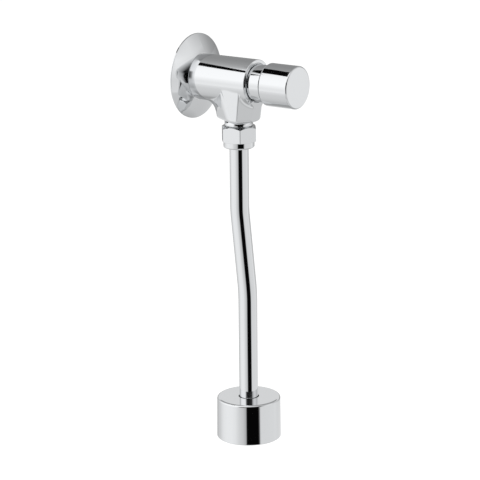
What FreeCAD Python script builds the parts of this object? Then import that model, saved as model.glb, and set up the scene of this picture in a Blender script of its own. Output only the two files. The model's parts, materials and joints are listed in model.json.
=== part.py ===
import FreeCAD, Part
import math
import os

from FreeCAD import Vector

# A push-button urinal flush valve with its wall rosette, flush pipe and spud cover, in millimetres.
# The origin is on the inlet axis at the wall face. The valve points out of the wall along -Y, the
# pipe hangs down along -Z, and X runs along the wall. Places along the valve axis are written as
# a distance from the wall, and places along the pipe as a depth below the valve axis.

# Inlet and wall side
INLET_THREAD_R = 10.48
INLET_THREAD_LENGTH = 16.0
THREAD_CHAMFER = 0.9
THREAD_RELIEF_LENGTH = 1.2
THREAD_RELIEF_R = 9.4
NECK_R = 14.1
NECK_STAND_OFF = 1.7
SHOULDER_PLACE = 4.0
SHOULDER_ROUND = 5.4
INLET_BORE_R = 7.0

# Wall rosette, a spun sheet dish that turns round the shoulder
ROSETTE_R = 33.65
ROSETTE_RISE = 6.6
ROSETTE_RIM_HEIGHT = 1.1
ROSETTE_SHEET = 0.8
ROSETTE_EDGE_ROUND = 0.5
ROSETTE_DOME_ROUND = 66.0
ROSETTE_DOME_SWELL = 1.0
ROSETTE_GAP = 0.36

# Valve body
BODY_R = 18.17
BODY_FRONT = 58.93
BODY_EDGE_ROUND = 0.5
CHAMBER_R = 10.4
CHAMBER_BACK = 5.5

# Outlet boss and its threaded nipple
OUTLET_PLACE = 41.35
BOSS_HALF_WIDTH = 16.2
BOSS_SIDE_SPREAD = 1.9
BOSS_HALF_LENGTH = 18.5
BOSS_END_SPREAD = 4.6
BOSS_DEPTH = 31.0
BOSS_EDGE_ROUND = 2.5
BOSS_BLEND = 9.0
CHIN_DEPTH = 13.0
CHIN_REACH = 1.3
CHIN_DRAFT = 8.0
OUTLET_BORE_R = 6.2
OUTLET_NECK_R = 11.15
OUTLET_NECK_LENGTH = 4.0
NIPPLE_THREAD_R = 10.48
NIPPLE_THREAD_LENGTH = 11.0
SOCKET_DEPTH = 8.0
CONE_DEPTH = 2.4
CONE_FLARE = 1.7

# Seat ring and disc
SEAT_PLACE = 24.0
SEAT_RING_R = 12.0
SEAT_RING_LENGTH = 4.0
SEAT_BORE_R = 6.5
SEAT_LIP_HEIGHT = 0.8
SEAT_LIP_WIDTH = 1.0
WASHER_R = 8.2
WASHER_THICKNESS = 2.8
HOLDER_WALL = 0.5
HOLDER_BASE = 2.0
HOLDER_RIM = 2.0
DISC_NUT_FLATS = 7.0
DISC_NUT_HEIGHT = 2.8

# Cartridge cage
CAGE_LAND_LENGTH = 4.5
CAGE_BORE_R = 9.4
CAGE_SLEEVE_R = 11.2
CAGE_WINDOWS = 6
CAGE_WINDOW_WIDTH = 5.5
CAGE_WEB = 3.0
CAGE_FLANGE_R = 14.0
CAGE_FLANGE_LENGTH = 2.9
BLEED_HOLE_R = 0.5
SPIGOT_R = 6.8
SPIGOT_LENGTH = 2.0

# Bonnet that carries the piston
BONNET_INSERT = 11.93
BONNET_THREAD_R = 14.95
BONNET_BORE_R = 11.0
BONNET_WALL = 3.4
COLLAR_R = 14.6
COLLAR_REACH = 15.07
COLLAR_EDGE_ROUND = 0.5
COLLAR_GROOVE = 0.8
COLLAR_GROOVE_DEPTH = 1.5
BONNET_RING_PLACE = 3.0
RING_SECTION_R = 0.78
RING_GROOVE_WIDTH = 2.0
GLAND_R = 5.5
GLAND_DEPTH = 2.4
GUIDE_BUSH_LENGTH = 1.0

# Push button and its moving train
BUTTON_TRAVEL = 9.0
BUTTON_R = 16.72
BUTTON_LENGTH = 26.82
BUTTON_GAP = 11.57
BUTTON_WALL = 1.52
BUTTON_FACE = 2.5
BUTTON_EDGE_ROUND = 0.7
BUTTON_BACK_CHAMFER = 1.5
BUTTON_BACK_STEP = 1.0
HUB_R = 8.0
INSERT_FLANGE = 4.3
STOP_SPARE = 0.3
ROD_R = 3.0
ROD_GRIP = 7.0
ROD_TIP_R = 2.0
PISTON_R = 10.6
PISTON_LENGTH = 5.0
PISTON_GAP = 1.6
LIP_GROOVE_R = 8.2
LIP_GROOVE_WIDTH = 2.6
CLIP_R = 5.4
CLIP_THICKNESS = 0.8
CLIP_GROOVE_DEPTH = 0.4

# Return spring
SPRING_R = 8.0
SPRING_WIRE = 1.1
SPRING_TURNS = 7
SPRING_END_PITCH = 1.6

# Inlet strainer
STRAINER_SEAT_R = 8.3
STRAINER_FLANGE = 1.2
STRAINER_R = 6.5
STRAINER_LENGTH = 10.6
STRAINER_SHEET = 0.5
STRAINER_HOLE_R = 0.6
STRAINER_ROWS = 3
STRAINER_HOLES = 10
RETAINER_LENGTH = 1.2
RETAINER_WIDTH = 1.3

# Flush pipe
PIPE_R = 7.5
PIPE_WALL = 1.0
PIPE_SET = 7.03
UPPER_BEND_DEPTH = 104.0
UPPER_BEND_R = 100.0
LOWER_BEND_DEPTH = 170.3
LOWER_BEND_R = 150.0
PIPE_TAIL = 9.0

# Union nut with its seal and slip ring
NUT_FLATS = 26.0
NUT_TOP_GAP = 0.5
NUT_HEX_LENGTH = 12.5
NUT_COLLAR_R = 12.2
NUT_COLLAR_LENGTH = 5.0
NUT_COLLAR_ROUND = 1.2
NUT_CHAMFER = 1.3
NUT_FLOOR = 4.0
NUT_TURN_ANGLE = 38.7
CONE_SEAL_R = 9.7
CONE_SEAL_BASE = 1.5
CONE_SEAL_HEIGHT = 3.4
SLIP_RING_R = 10.2
SLIP_RING_LENGTH = 1.4

# Spud cover and spud seal at the foot of the pipe
CUP_TOP_DEPTH = 258.2
CUP_HEIGHT = 33.4
CUP_TOP_R = 25.5
CUP_RIM_R = 25.9
CUP_WALL = 1.2
CUP_HUB_R = 12.0
CUP_HUB_LENGTH = 4.0
CUP_TOP_ROUND = 1.8
CUP_HOLE_R = 8.2
GRIP_SECTION_R = 0.9
GRIP_GROOVE_R = 9.45
SPUD_SEAL_DROP = 9.8
SPUD_SEAL_FLANGE_R = 17.0
SPUD_SEAL_FLANGE = 2.5
SPUD_SEAL_RELIEF_R = 14.6
SPUD_SEAL_RELIEF = 0.7
SPUD_SEAL_LAND_R = 15.0
SPUD_SEAL_LAND = 3.8
SPUD_SEAL_TIP_R = 12.5
SPUD_SEAL_TIP = 3.0

# Clearances
RUNNING = 0.05
SLIDING = 0.08
LOOSE = 0.3
SEATED = 0.02

# Places worked out from the sizes above
BONNET_BACK = BODY_FRONT - BONNET_INSERT
BONNET_FRONT = BODY_FRONT + COLLAR_REACH
BONNET_INNER_FRONT = BONNET_FRONT - BONNET_WALL
SEAT_FRONT = SEAT_PLACE + SEAT_RING_LENGTH
DISC_FACE = SEAT_PLACE - SEAT_LIP_HEIGHT
CAGE_LAND_FRONT = SEAT_FRONT + CAGE_LAND_LENGTH
CAGE_FRONT = BONNET_BACK - SEATED
CAGE_FLANGE_BACK = CAGE_FRONT - CAGE_FLANGE_LENGTH
SPRING_SEAT = CAGE_FRONT - 1.0
CAGE_WEB_BACK = SPRING_SEAT - CAGE_WEB
PISTON_FRONT = BONNET_INNER_FRONT - PISTON_GAP
PISTON_BACK = PISTON_FRONT - PISTON_LENGTH
BUTTON_BACK = BODY_FRONT + BUTTON_GAP
BUTTON_FRONT = BUTTON_BACK + BUTTON_LENGTH
BUTTON_INNER_R = BUTTON_R - BUTTON_WALL
INSERT_FRONT = BUTTON_FRONT - BUTTON_FACE
HUB_BACK = BONNET_FRONT + BUTTON_TRAVEL + STOP_SPARE
ROD_FRONT = HUB_BACK + ROD_GRIP
WASHER_BACK = DISC_FACE - WASHER_THICKNESS
HOLDER_BACK = WASHER_BACK - HOLDER_BASE
DISC_NUT_BACK = HOLDER_BACK - DISC_NUT_HEIGHT
ROD_BACK = DISC_NUT_BACK - 0.6
SEAT_BORE = SEAT_RING_R + RUNNING
ANNULUS_R = CAGE_FLANGE_R + 0.2
BODY_THREAD_R = BONNET_THREAD_R + RUNNING
NIPPLE_TOP = BOSS_DEPTH + OUTLET_NECK_LENGTH
NIPPLE_END = NIPPLE_TOP + NIPPLE_THREAD_LENGTH
SOCKET_TOP = NIPPLE_END - SOCKET_DEPTH
SOCKET_R = PIPE_R + SLIDING
NUT_TOP = NIPPLE_TOP + NUT_TOP_GAP
NUT_HEX_END = NUT_TOP + NUT_HEX_LENGTH
NUT_END = NUT_HEX_END + NUT_COLLAR_LENGTH
NUT_FLOOR_TOP = NUT_END - NUT_FLOOR
SLIP_RING_TOP = NUT_FLOOR_TOP - SLIP_RING_LENGTH
CUP_RIM_DEPTH = CUP_TOP_DEPTH + CUP_HEIGHT
SPUD_SEAL_TOP = CUP_TOP_DEPTH + SPUD_SEAL_DROP
SPUD_SEAL_LAND_TOP = SPUD_SEAL_TOP + SPUD_SEAL_FLANGE + SPUD_SEAL_RELIEF
SPUD_SEAL_LAND_END = SPUD_SEAL_LAND_TOP + SPUD_SEAL_LAND
SPUD_SEAL_END = SPUD_SEAL_LAND_END + SPUD_SEAL_TIP
PIPE_END_DEPTH = SPUD_SEAL_END + PIPE_TAIL
PIPE_FOOT_PLACE = OUTLET_PLACE + PIPE_SET
THREAD_FOOT = NECK_STAND_OFF - THREAD_RELIEF_LENGTH
GROOVE_R = COLLAR_R + COLLAR_GROOVE


def profile(corners):
    """Closed face in the radius-height plane; a corner's third number rounds it with an arc."""
    stops = []
    for i, corner in enumerate(corners):
        here = Vector(corner[0], 0, corner[1])
        if len(corner) < 3:
            stops.append((here, None, here))
            continue
        last = corners[i - 1]
        following = corners[(i + 1) % len(corners)]
        back = (Vector(last[0], 0, last[1]) - here).normalize()
        on = (Vector(following[0], 0, following[1]) - here).normalize()
        half = back.getAngle(on) / 2
        reach = corner[2] / math.tan(half)
        inward = (back + on).normalize()
        middle = here + inward * (corner[2] / math.sin(half) - corner[2])
        stops.append((here + back * reach, middle, here + on * reach))
    edges = []
    for i, (start, middle, end) in enumerate(stops):
        if middle is not None:
            edges.append(Part.Arc(start, middle, end).toShape())
        next_start = stops[(i + 1) % len(stops)][0]
        if end.distanceToPoint(next_start) > 1e-6:
            edges.append(Part.LineSegment(end, next_start).toShape())
    return Part.Face(Part.Wire(edges))


def turned(corners):
    """Solid of revolution about Z of a profile of (radius, height) corners."""
    return profile(corners).revolve(Vector(0, 0, 0), Vector(0, 0, 1), 360)


def on_valve_axis(shape):
    """Turns a shape made along +Z so that its heights become distances from the wall."""
    return shape.rotate(Vector(0, 0, 0), Vector(1, 0, 0), 90)


def valve_turned(corners):
    """Solid of revolution about the valve axis, from (radius, distance from wall) corners."""
    return on_valve_axis(turned(corners))


def hung(corners, place):
    """Solid of revolution about the vertical at a distance from the wall, from (radius, depth)."""
    shape = turned([(corner[0], -corner[1]) + tuple(corner[2:]) for corner in corners])
    shape.translate(Vector(0, -place, 0))
    return shape


def tube(inner_r, outer_r, back, front):
    """Plain ring about the valve axis."""
    return valve_turned([(inner_r, back), (outer_r, back), (outer_r, front), (inner_r, front)])


def plug(radius, back, front):
    """Plain disc or rod about the valve axis."""
    return tube(0, radius, back, front)


def hung_tube(inner_r, outer_r, top, bottom, place):
    """Plain ring about a vertical axis, between two depths."""
    return hung([(inner_r, top), (outer_r, top), (outer_r, bottom), (inner_r, bottom)], place)


def seal_ring(mean_r, section_r, height):
    """Round-section ring about Z."""
    circle = Part.makeCircle(section_r, Vector(mean_r, 0, height), Vector(0, 1, 0))
    return Part.Face(Part.Wire([circle])).revolve(Vector(0, 0, 0), Vector(0, 0, 1), 360)


def lip_ring(inner_r, outer_r, back, front):
    """Seal ring about the valve axis with a V groove between its two lips at the front."""
    web = (outer_r - inner_r) / 3
    return valve_turned([
        (inner_r, back), (outer_r - 0.4, back), (outer_r, front - 0.3), (outer_r - 0.3, front),
        (outer_r - web, front), (inner_r + 1.5 * web, front - 0.5 * (front - back)),
        (inner_r + web, front), (inner_r, front)])


def hex_prism(flats, height):
    """Hexagonal prism standing on the XY plane with a corner on +X."""
    corner_r = flats / math.sqrt(3)
    points = [
        Vector(corner_r * math.cos(math.radians(60 * i)), corner_r * math.sin(math.radians(60 * i)), 0)
        for i in range(7)]
    return Part.Face(Part.makePolygon(points)).extrude(Vector(0, 0, height))


def wall_rosette():
    """Spun dish: a low rim against the wall, then a dome up to the hole that clears the shoulder."""
    shoulder_front = SHOULDER_PLACE + SHOULDER_ROUND
    shoulder_r = math.sqrt(SHOULDER_ROUND ** 2 - (shoulder_front - ROSETTE_RISE) ** 2)
    hole_r = BODY_R - SHOULDER_ROUND + shoulder_r + ROSETTE_GAP
    swell_r = (ROSETTE_R + hole_r) / 2
    swell_at = (ROSETTE_RIM_HEIGHT + ROSETTE_RISE) / 2 + ROSETTE_DOME_SWELL
    inner_r = ROSETTE_R - ROSETTE_SHEET
    return valve_turned([
        (ROSETTE_R, 0), (ROSETTE_R, ROSETTE_RIM_HEIGHT, ROSETTE_EDGE_ROUND),
        (swell_r, swell_at, ROSETTE_DOME_ROUND), (hole_r, ROSETTE_RISE),
        (hole_r, ROSETTE_RISE - ROSETTE_SHEET),
        (swell_r, swell_at - ROSETTE_SHEET, ROSETTE_DOME_ROUND),
        (inner_r, ROSETTE_RIM_HEIGHT - ROSETTE_SHEET), (inner_r, 0)])


def ellipse(half_width, half_length, depth):
    """Elliptical wire about the outlet axis at a depth, longer along the valve axis."""
    middle = Vector(0, -OUTLET_PLACE, -depth)
    curve = Part.Ellipse(middle + Vector(0, half_length, 0), middle + Vector(half_width, 0, 0), middle)
    return Part.Wire([curve.toShape()])


def tapered_boss():
    """Outlet boss, an elliptical cone that narrows downwards as a casting's draft makes it."""
    top = ellipse(BOSS_HALF_WIDTH + BOSS_SIDE_SPREAD, BOSS_HALF_LENGTH + BOSS_END_SPREAD, 0)
    foot = ellipse(BOSS_HALF_WIDTH, BOSS_HALF_LENGTH, BOSS_DEPTH)
    return Part.makeLoft([top, foot], True, True)


def front_facing(run_out):
    """Everything in front of the body's front face and of the drafted chin under it."""
    half = BODY_R * 2
    chin = BODY_FRONT + CHIN_REACH
    foot = BOSS_DEPTH * 2
    foot_place = chin - math.tan(math.radians(CHIN_DRAFT)) * (foot - CHIN_DEPTH)
    corners = [
        (BODY_FRONT, -half), (BODY_FRONT, CHIN_DEPTH), (chin, CHIN_DEPTH), (foot_place, foot),
        (run_out * 2, foot), (run_out * 2, -half), (BODY_FRONT, -half)]
    outline = Part.makePolygon([Vector(-half, -place, -depth) for place, depth in corners])
    return Part.Face(outline).extrude(Vector(half * 2, 0, 0))


def blended_barrel(run_out):
    """Barrel and boss joined by a rolling blend, with the boss's lower rim rounded."""
    barrel = valve_turned([
        (0, SHOULDER_PLACE), (BODY_R, SHOULDER_PLACE, SHOULDER_ROUND), (BODY_R, run_out),
        (0, run_out)])
    joined = barrel.fuse(tapered_boss())
    seams = [
        e for e in joined.Edges
        if e.Curve.TypeId == "Part::GeomBSplineCurve" and e.Length > BOSS_EDGE_ROUND * 2
        and e.BoundBox.ZMin > -BOSS_DEPTH + 0.1 and e.BoundBox.ZMax < -0.5]
    blended = joined.makeFillet(BOSS_BLEND, seams)
    rims = [e for e in blended.Edges if abs(e.BoundBox.ZMax + BOSS_DEPTH) < 0.01]
    return blended.makeFillet(BOSS_EDGE_ROUND, rims)


def rounded_front(faced):
    """Rounds the outer rims of the front face and of the chin."""
    rims = []
    for edge in faced.Edges:
        middle = edge.valueAt((edge.FirstParameter + edge.LastParameter) / 2)
        chin = BODY_FRONT - math.tan(math.radians(CHIN_DRAFT)) * BOSS_DEPTH
        if -middle.y > chin and math.hypot(middle.x, middle.z) > BODY_R - BODY_EDGE_ROUND * 2:
            rims.append(edge)
    return faced.makeFillet(BODY_EDGE_ROUND, rims)


def body_casting():
    """Outside of the body: blended barrel and boss, faced off in front, with its threaded ends."""
    run_out = OUTLET_PLACE + BOSS_HALF_LENGTH * 2
    faced = rounded_front(blended_barrel(run_out).cut(front_facing(run_out)))
    neck = valve_turned([
        (0, NECK_STAND_OFF), (NECK_R, NECK_STAND_OFF), (NECK_R, SHOULDER_PLACE + SHOULDER_ROUND),
        (0, SHOULDER_PLACE + SHOULDER_ROUND)])
    thread = valve_turned([
        (0, -INLET_THREAD_LENGTH), (INLET_THREAD_R - THREAD_CHAMFER, -INLET_THREAD_LENGTH),
        (INLET_THREAD_R, THREAD_CHAMFER - INLET_THREAD_LENGTH), (INLET_THREAD_R, THREAD_FOOT),
        (THREAD_RELIEF_R, THREAD_FOOT), (THREAD_RELIEF_R, NECK_STAND_OFF + 1),
        (0, NECK_STAND_OFF + 1)])
    nipple = hung([
        (0, BOSS_DEPTH - BOSS_EDGE_ROUND), (OUTLET_NECK_R, BOSS_DEPTH - BOSS_EDGE_ROUND),
        (OUTLET_NECK_R, NIPPLE_TOP), (NIPPLE_THREAD_R, NIPPLE_TOP),
        (NIPPLE_THREAD_R, NIPPLE_END - THREAD_CHAMFER / 2),
        (NIPPLE_THREAD_R - THREAD_CHAMFER / 2, NIPPLE_END), (0, NIPPLE_END)], OUTLET_PLACE)
    return faced.fuse([neck, thread, nipple])


def valve_body():
    """One brass casting, bored for the strainer, the chamber, the cartridge and the outlet."""
    seat_end = -INLET_THREAD_LENGTH + STRAINER_FLANGE + RETAINER_LENGTH
    groove_back = BODY_FRONT - COLLAR_GROOVE_DEPTH
    way = valve_turned([
        (0, -INLET_THREAD_LENGTH - 1), (STRAINER_SEAT_R, -INLET_THREAD_LENGTH - 1),
        (STRAINER_SEAT_R, seat_end), (INLET_BORE_R, seat_end), (INLET_BORE_R, CHAMBER_BACK),
        (CHAMBER_R, CHAMBER_BACK), (CHAMBER_R, SEAT_PLACE), (SEAT_BORE, SEAT_PLACE),
        (SEAT_BORE, CAGE_LAND_FRONT + 0.5), (ANNULUS_R, CAGE_LAND_FRONT + 0.5),
        (ANNULUS_R, BONNET_BACK - 0.5), (BODY_THREAD_R, BONNET_BACK - 0.5),
        (BODY_THREAD_R, groove_back), (GROOVE_R, groove_back),
        (GROOVE_R, BODY_FRONT + CHIN_REACH * 2), (0, BODY_FRONT + CHIN_REACH * 2)])
    outlet = hung([
        (0, ANNULUS_R / 2), (OUTLET_BORE_R, ANNULUS_R / 2), (OUTLET_BORE_R, SOCKET_TOP),
        (SOCKET_R, SOCKET_TOP), (SOCKET_R, NIPPLE_END - CONE_DEPTH),
        (SOCKET_R + CONE_FLARE, NIPPLE_END), (SOCKET_R + CONE_FLARE, NIPPLE_END + 1),
        (0, NIPPLE_END + 1)], OUTLET_PLACE)
    return body_casting().cut(way).cut(outlet)


def strainer():
    """Pressed thimble with rows of holes, hung from a flange in the mouth of the inlet."""
    back = -INLET_THREAD_LENGTH + RETAINER_LENGTH
    front = back + STRAINER_LENGTH
    inner_r = STRAINER_R - STRAINER_SHEET
    shape = valve_turned([
        (inner_r, back), (STRAINER_SEAT_R - RUNNING, back),
        (STRAINER_SEAT_R - RUNNING, back + STRAINER_FLANGE), (STRAINER_R, back + STRAINER_FLANGE),
        (STRAINER_R, front, STRAINER_SHEET * 3), (0, front), (0, front - STRAINER_SHEET),
        (inner_r, front - STRAINER_SHEET, STRAINER_SHEET * 2)])
    spacing = (front - back - STRAINER_FLANGE * 2) / (STRAINER_ROWS + 0.5)
    drills = []
    for row in range(STRAINER_ROWS):
        at = back + STRAINER_FLANGE + spacing * (row + 0.75)
        for i in range(STRAINER_HOLES):
            angle = 2 * math.pi * (i + row / 2) / STRAINER_HOLES
            out = Vector(math.cos(angle), 0, math.sin(angle))
            drills.append(Part.makeCylinder(
                STRAINER_HOLE_R, STRAINER_R, Vector(0, -at, 0) + out * inner_r / 2, out))
    for i in range(6):
        angle = math.pi * i / 3
        start = Vector(inner_r / 2 * math.cos(angle), -front - 1, inner_r / 2 * math.sin(angle))
        drills.append(Part.makeCylinder(STRAINER_HOLE_R, STRAINER_SHEET * 4, start, Vector(0, 1, 0)))
    return shape.cut(drills)


def strainer_ring():
    """Ring pressed in behind the strainer's flange."""
    outer_r = STRAINER_SEAT_R - SEATED
    return tube(
        outer_r - RETAINER_WIDTH, outer_r, -INLET_THREAD_LENGTH,
        -INLET_THREAD_LENGTH + RETAINER_LENGTH - SEATED)


def seat_ring():
    """Brass ring against the body's step, with a raised lip that the washer closes on."""
    lip_r = SEAT_BORE_R + SEAT_LIP_WIDTH
    return valve_turned([
        (SEAT_BORE_R, DISC_FACE), (lip_r, DISC_FACE), (lip_r, SEAT_PLACE), (SEAT_RING_R, SEAT_PLACE),
        (SEAT_RING_R, SEAT_FRONT), (SEAT_BORE_R, SEAT_FRONT)])


def cage_groove_place():
    """Middle of the ring groove on the cage's land."""
    return SEAT_FRONT + CAGE_LAND_LENGTH / 2


def groove_floor(bore_r):
    """Radius of a ring groove's floor, for a ring that just fills it against a bore."""
    return bore_r - 2 * (RING_SECTION_R + SEATED)


def cartridge_cage():
    """Moulded sleeve: sealing land, windows to the outlet, guide web, flange under the bonnet."""
    groove_back = cage_groove_place() - RING_GROOVE_WIDTH / 2
    groove_front = groove_back + RING_GROOVE_WIDTH
    floor = groove_floor(SEAT_BORE)
    shape = valve_turned([
        (CAGE_BORE_R, SEAT_FRONT), (SEAT_RING_R, SEAT_FRONT), (SEAT_RING_R, groove_back),
        (floor, groove_back), (floor, groove_front), (SEAT_RING_R, groove_front),
        (SEAT_RING_R, CAGE_LAND_FRONT), (CAGE_SLEEVE_R, CAGE_LAND_FRONT),
        (CAGE_SLEEVE_R, CAGE_FLANGE_BACK), (CAGE_FLANGE_R, CAGE_FLANGE_BACK),
        (CAGE_FLANGE_R, CAGE_FRONT), (BONNET_BORE_R, CAGE_FRONT), (BONNET_BORE_R - 0.5, SPRING_SEAT),
        (SPIGOT_R, SPRING_SEAT), (SPIGOT_R, SPRING_SEAT + SPIGOT_LENGTH, 0.4),
        (ROD_R + RUNNING, SPRING_SEAT + SPIGOT_LENGTH), (ROD_R + RUNNING, CAGE_WEB_BACK),
        (CAGE_BORE_R, CAGE_WEB_BACK)])
    length = CAGE_WEB_BACK - CAGE_LAND_FRONT - 1.0
    windows = []
    for i in range(CAGE_WINDOWS):
        window = Part.makeBox(
            CAGE_WINDOW_WIDTH, CAGE_SLEEVE_R, length,
            Vector(-CAGE_WINDOW_WIDTH / 2, CAGE_BORE_R / 2, CAGE_LAND_FRONT + 0.5))
        window.rotate(Vector(0, 0, 0), Vector(0, 0, 1), 360 * i / CAGE_WINDOWS)
        windows.append(on_valve_axis(window))
    bleed_r = (SPIGOT_R + ROD_R) / 2
    bleed = Part.makeCylinder(
        BLEED_HOLE_R, CAGE_WEB + SPIGOT_LENGTH + 2, Vector(0, 1 - CAGE_WEB_BACK, bleed_r), Vector(0, -1, 0))
    return shape.cut(windows + [bleed])


def cage_ring():
    """Seal ring in the groove of the cage's land."""
    mean_r = SEAT_BORE - RING_SECTION_R - SEATED
    return on_valve_axis(seal_ring(mean_r, RING_SECTION_R, cage_groove_place()))


def bonnet_groove_place():
    """Middle of the ring groove near the back of the bonnet."""
    return BONNET_BACK + BONNET_RING_PLACE + RING_GROOVE_WIDTH / 2


def bonnet():
    """Brass cylinder screwed into the body; its polished collar shows and guides the button."""
    groove_back = bonnet_groove_place() - RING_GROOVE_WIDTH / 2
    groove_front = groove_back + RING_GROOVE_WIDTH
    floor = groove_floor(BODY_THREAD_R)
    thread_front = BODY_FRONT - COLLAR_GROOVE_DEPTH
    return valve_turned([
        (BONNET_BORE_R, BONNET_BACK), (BONNET_THREAD_R, BONNET_BACK), (BONNET_THREAD_R, groove_back),
        (floor, groove_back), (floor, groove_front), (BONNET_THREAD_R, groove_front),
        (BONNET_THREAD_R, thread_front), (COLLAR_R, thread_front),
        (COLLAR_R, BONNET_FRONT, COLLAR_EDGE_ROUND), (GLAND_R, BONNET_FRONT),
        (GLAND_R, BONNET_FRONT - GLAND_DEPTH), (ROD_R + LOOSE, BONNET_FRONT - GLAND_DEPTH),
        (ROD_R + LOOSE, BONNET_INNER_FRONT), (BONNET_BORE_R, BONNET_INNER_FRONT)])


def bonnet_ring():
    """Seal ring between the bonnet and the body."""
    mean_r = BODY_THREAD_R - RING_SECTION_R - SEATED
    return on_valve_axis(seal_ring(mean_r, RING_SECTION_R, bonnet_groove_place()))


def rod_seal():
    """Lip seal round the rod, in the gland at the front of the bonnet."""
    back = BONNET_FRONT - GLAND_DEPTH
    return lip_ring(ROD_R + RUNNING, GLAND_R - RUNNING, back, BONNET_FRONT - GUIDE_BUSH_LENGTH - SEATED)


def rod_guide_bush():
    """Bush that closes the gland and guides the rod."""
    return tube(ROD_R + RUNNING, GLAND_R - SEATED, BONNET_FRONT - GUIDE_BUSH_LENGTH, BONNET_FRONT)


def push_rod():
    """Rod from the disc to the button, with a thin tip behind and a groove for the clip."""
    clip_back = PISTON_FRONT
    clip_front = PISTON_FRONT + CLIP_THICKNESS + SEATED
    floor = ROD_R - CLIP_GROOVE_DEPTH
    return valve_turned([
        (0, ROD_BACK), (ROD_TIP_R, ROD_BACK), (ROD_TIP_R, DISC_FACE), (ROD_R, DISC_FACE),
        (ROD_R, clip_back), (floor, clip_back), (floor, clip_front), (ROD_R, clip_front),
        (ROD_R, ROD_FRONT - 0.5), (ROD_R - 0.5, ROD_FRONT), (0, ROD_FRONT)])


def seat_washer():
    """Rubber washer that closes on the seat's lip."""
    return tube(ROD_TIP_R + SEATED, WASHER_R, WASHER_BACK, DISC_FACE)


def disc_holder():
    """Brass cup that backs the washer and keeps its edge in."""
    outer_r = WASHER_R + SEATED + HOLDER_WALL
    return valve_turned([
        (ROD_TIP_R + SEATED, HOLDER_BACK), (outer_r, HOLDER_BACK, 0.4), (outer_r, WASHER_BACK + HOLDER_RIM),
        (WASHER_R + SEATED, WASHER_BACK + HOLDER_RIM), (WASHER_R + SEATED, WASHER_BACK),
        (ROD_TIP_R + SEATED, WASHER_BACK)])


def disc_nut():
    """Small hexagon nut on the rod's tip, behind the disc."""
    nut = hex_prism(DISC_NUT_FLATS, DISC_NUT_HEIGHT)
    nut.translate(Vector(0, 0, DISC_NUT_BACK))
    bore = plug(ROD_TIP_R + SEATED, DISC_NUT_BACK - 1, HOLDER_BACK + 1)
    return on_valve_axis(nut).cut(bore)


def lip_groove_back():
    """Back of the piston's seal groove, which lies in the middle of the piston."""
    return PISTON_BACK + (PISTON_LENGTH - LIP_GROOVE_WIDTH) / 2


def piston():
    """Moulded piston on the rod, with a spigot that centres the spring."""
    groove_back = lip_groove_back()
    groove_front = groove_back + LIP_GROOVE_WIDTH
    return valve_turned([
        (ROD_R + SEATED, PISTON_BACK - SPIGOT_LENGTH),
        (SPIGOT_R, PISTON_BACK - SPIGOT_LENGTH, 0.4), (SPIGOT_R, PISTON_BACK), (PISTON_R, PISTON_BACK),
        (PISTON_R, groove_back), (LIP_GROOVE_R, groove_back), (LIP_GROOVE_R, groove_front),
        (PISTON_R, groove_front), (PISTON_R, PISTON_FRONT), (ROD_R + SEATED, PISTON_FRONT)])


def lip_seal():
    """Lip seal in the piston's groove, running in the bonnet's bore."""
    back = lip_groove_back() + SEATED
    return lip_ring(LIP_GROOVE_R + SEATED, BONNET_BORE_R - RUNNING, back, back + LIP_GROOVE_WIDTH - 0.1)


def piston_clip():
    """Open spring clip in the rod's groove, which the piston pushes the rod by."""
    inner_r = ROD_R - CLIP_GROOVE_DEPTH + SEATED
    ring = tube(inner_r, CLIP_R, PISTON_FRONT + SEATED / 2, PISTON_FRONT + CLIP_THICKNESS)
    mouth = Part.makeBox(
        inner_r * 1.4, CLIP_THICKNESS + 2, CLIP_R + 1,
        Vector(-inner_r * 0.7, -PISTON_FRONT - CLIP_THICKNESS - 1, -CLIP_R - 1))
    return ring.cut(mouth)


def button_cap():
    """Polished brass cap, chamfered at its open back; its front face is flat and bare."""
    back_r = BUTTON_R - BUTTON_BACK_STEP
    return valve_turned([
        (BUTTON_INNER_R, BUTTON_BACK), (back_r, BUTTON_BACK),
        (BUTTON_R, BUTTON_BACK + BUTTON_BACK_CHAMFER, 0.5), (BUTTON_R, BUTTON_FRONT, BUTTON_EDGE_ROUND),
        (0, BUTTON_FRONT), (0, INSERT_FRONT), (BUTTON_INNER_R, INSERT_FRONT)])


def cap_insert():
    """Moulded hub pressed into the cap, which takes the rod's front end and stops on the bonnet."""
    outer_r = BUTTON_INNER_R - SEATED
    return valve_turned([
        (ROD_R + SEATED, HUB_BACK), (HUB_R, HUB_BACK, 0.5), (HUB_R, INSERT_FRONT - INSERT_FLANGE),
        (outer_r, INSERT_FRONT - INSERT_FLANGE), (outer_r, INSERT_FRONT - SEATED),
        (0, INSERT_FRONT - SEATED), (0, ROD_FRONT + SEATED), (ROD_R + SEATED, ROD_FRONT + SEATED)])


def spring_point(turn, height):
    """Point and direction on the wire's centre line, after a number of turns.

    The pitch eases from the end pitch to its most at mid length by the square of a sine, so the
    height is its integral, and the last point lies exactly at the full height.
    """
    swell = 2 * (height / SPRING_TURNS - SPRING_END_PITCH)
    phase = 2 * math.pi * turn / SPRING_TURNS
    rise = SPRING_END_PITCH * turn + swell * (turn / 2 - SPRING_TURNS / (4 * math.pi) * math.sin(phase))
    pitch = SPRING_END_PITCH + swell * (1 - math.cos(phase)) / 2
    angle = 2 * math.pi * turn
    point = Vector(SPRING_R * math.cos(angle), SPRING_R * math.sin(angle), rise)
    along = Vector(
        -2 * math.pi * SPRING_R * math.sin(angle), 2 * math.pi * SPRING_R * math.cos(angle), pitch)
    return point, along.normalize()


def arc_between(start, corner, end):
    """Circular arc from start to end that leaves start towards the corner."""
    half_chord = start.distanceToPoint(end) / 2
    foot = (start + end) / 2
    half_turn = (corner - start).getAngle(end - start)
    crown = foot + (corner - foot).normalize() * (half_chord * math.tan(half_turn / 2))
    return Part.Arc(start, crown, end).toShape()


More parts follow.
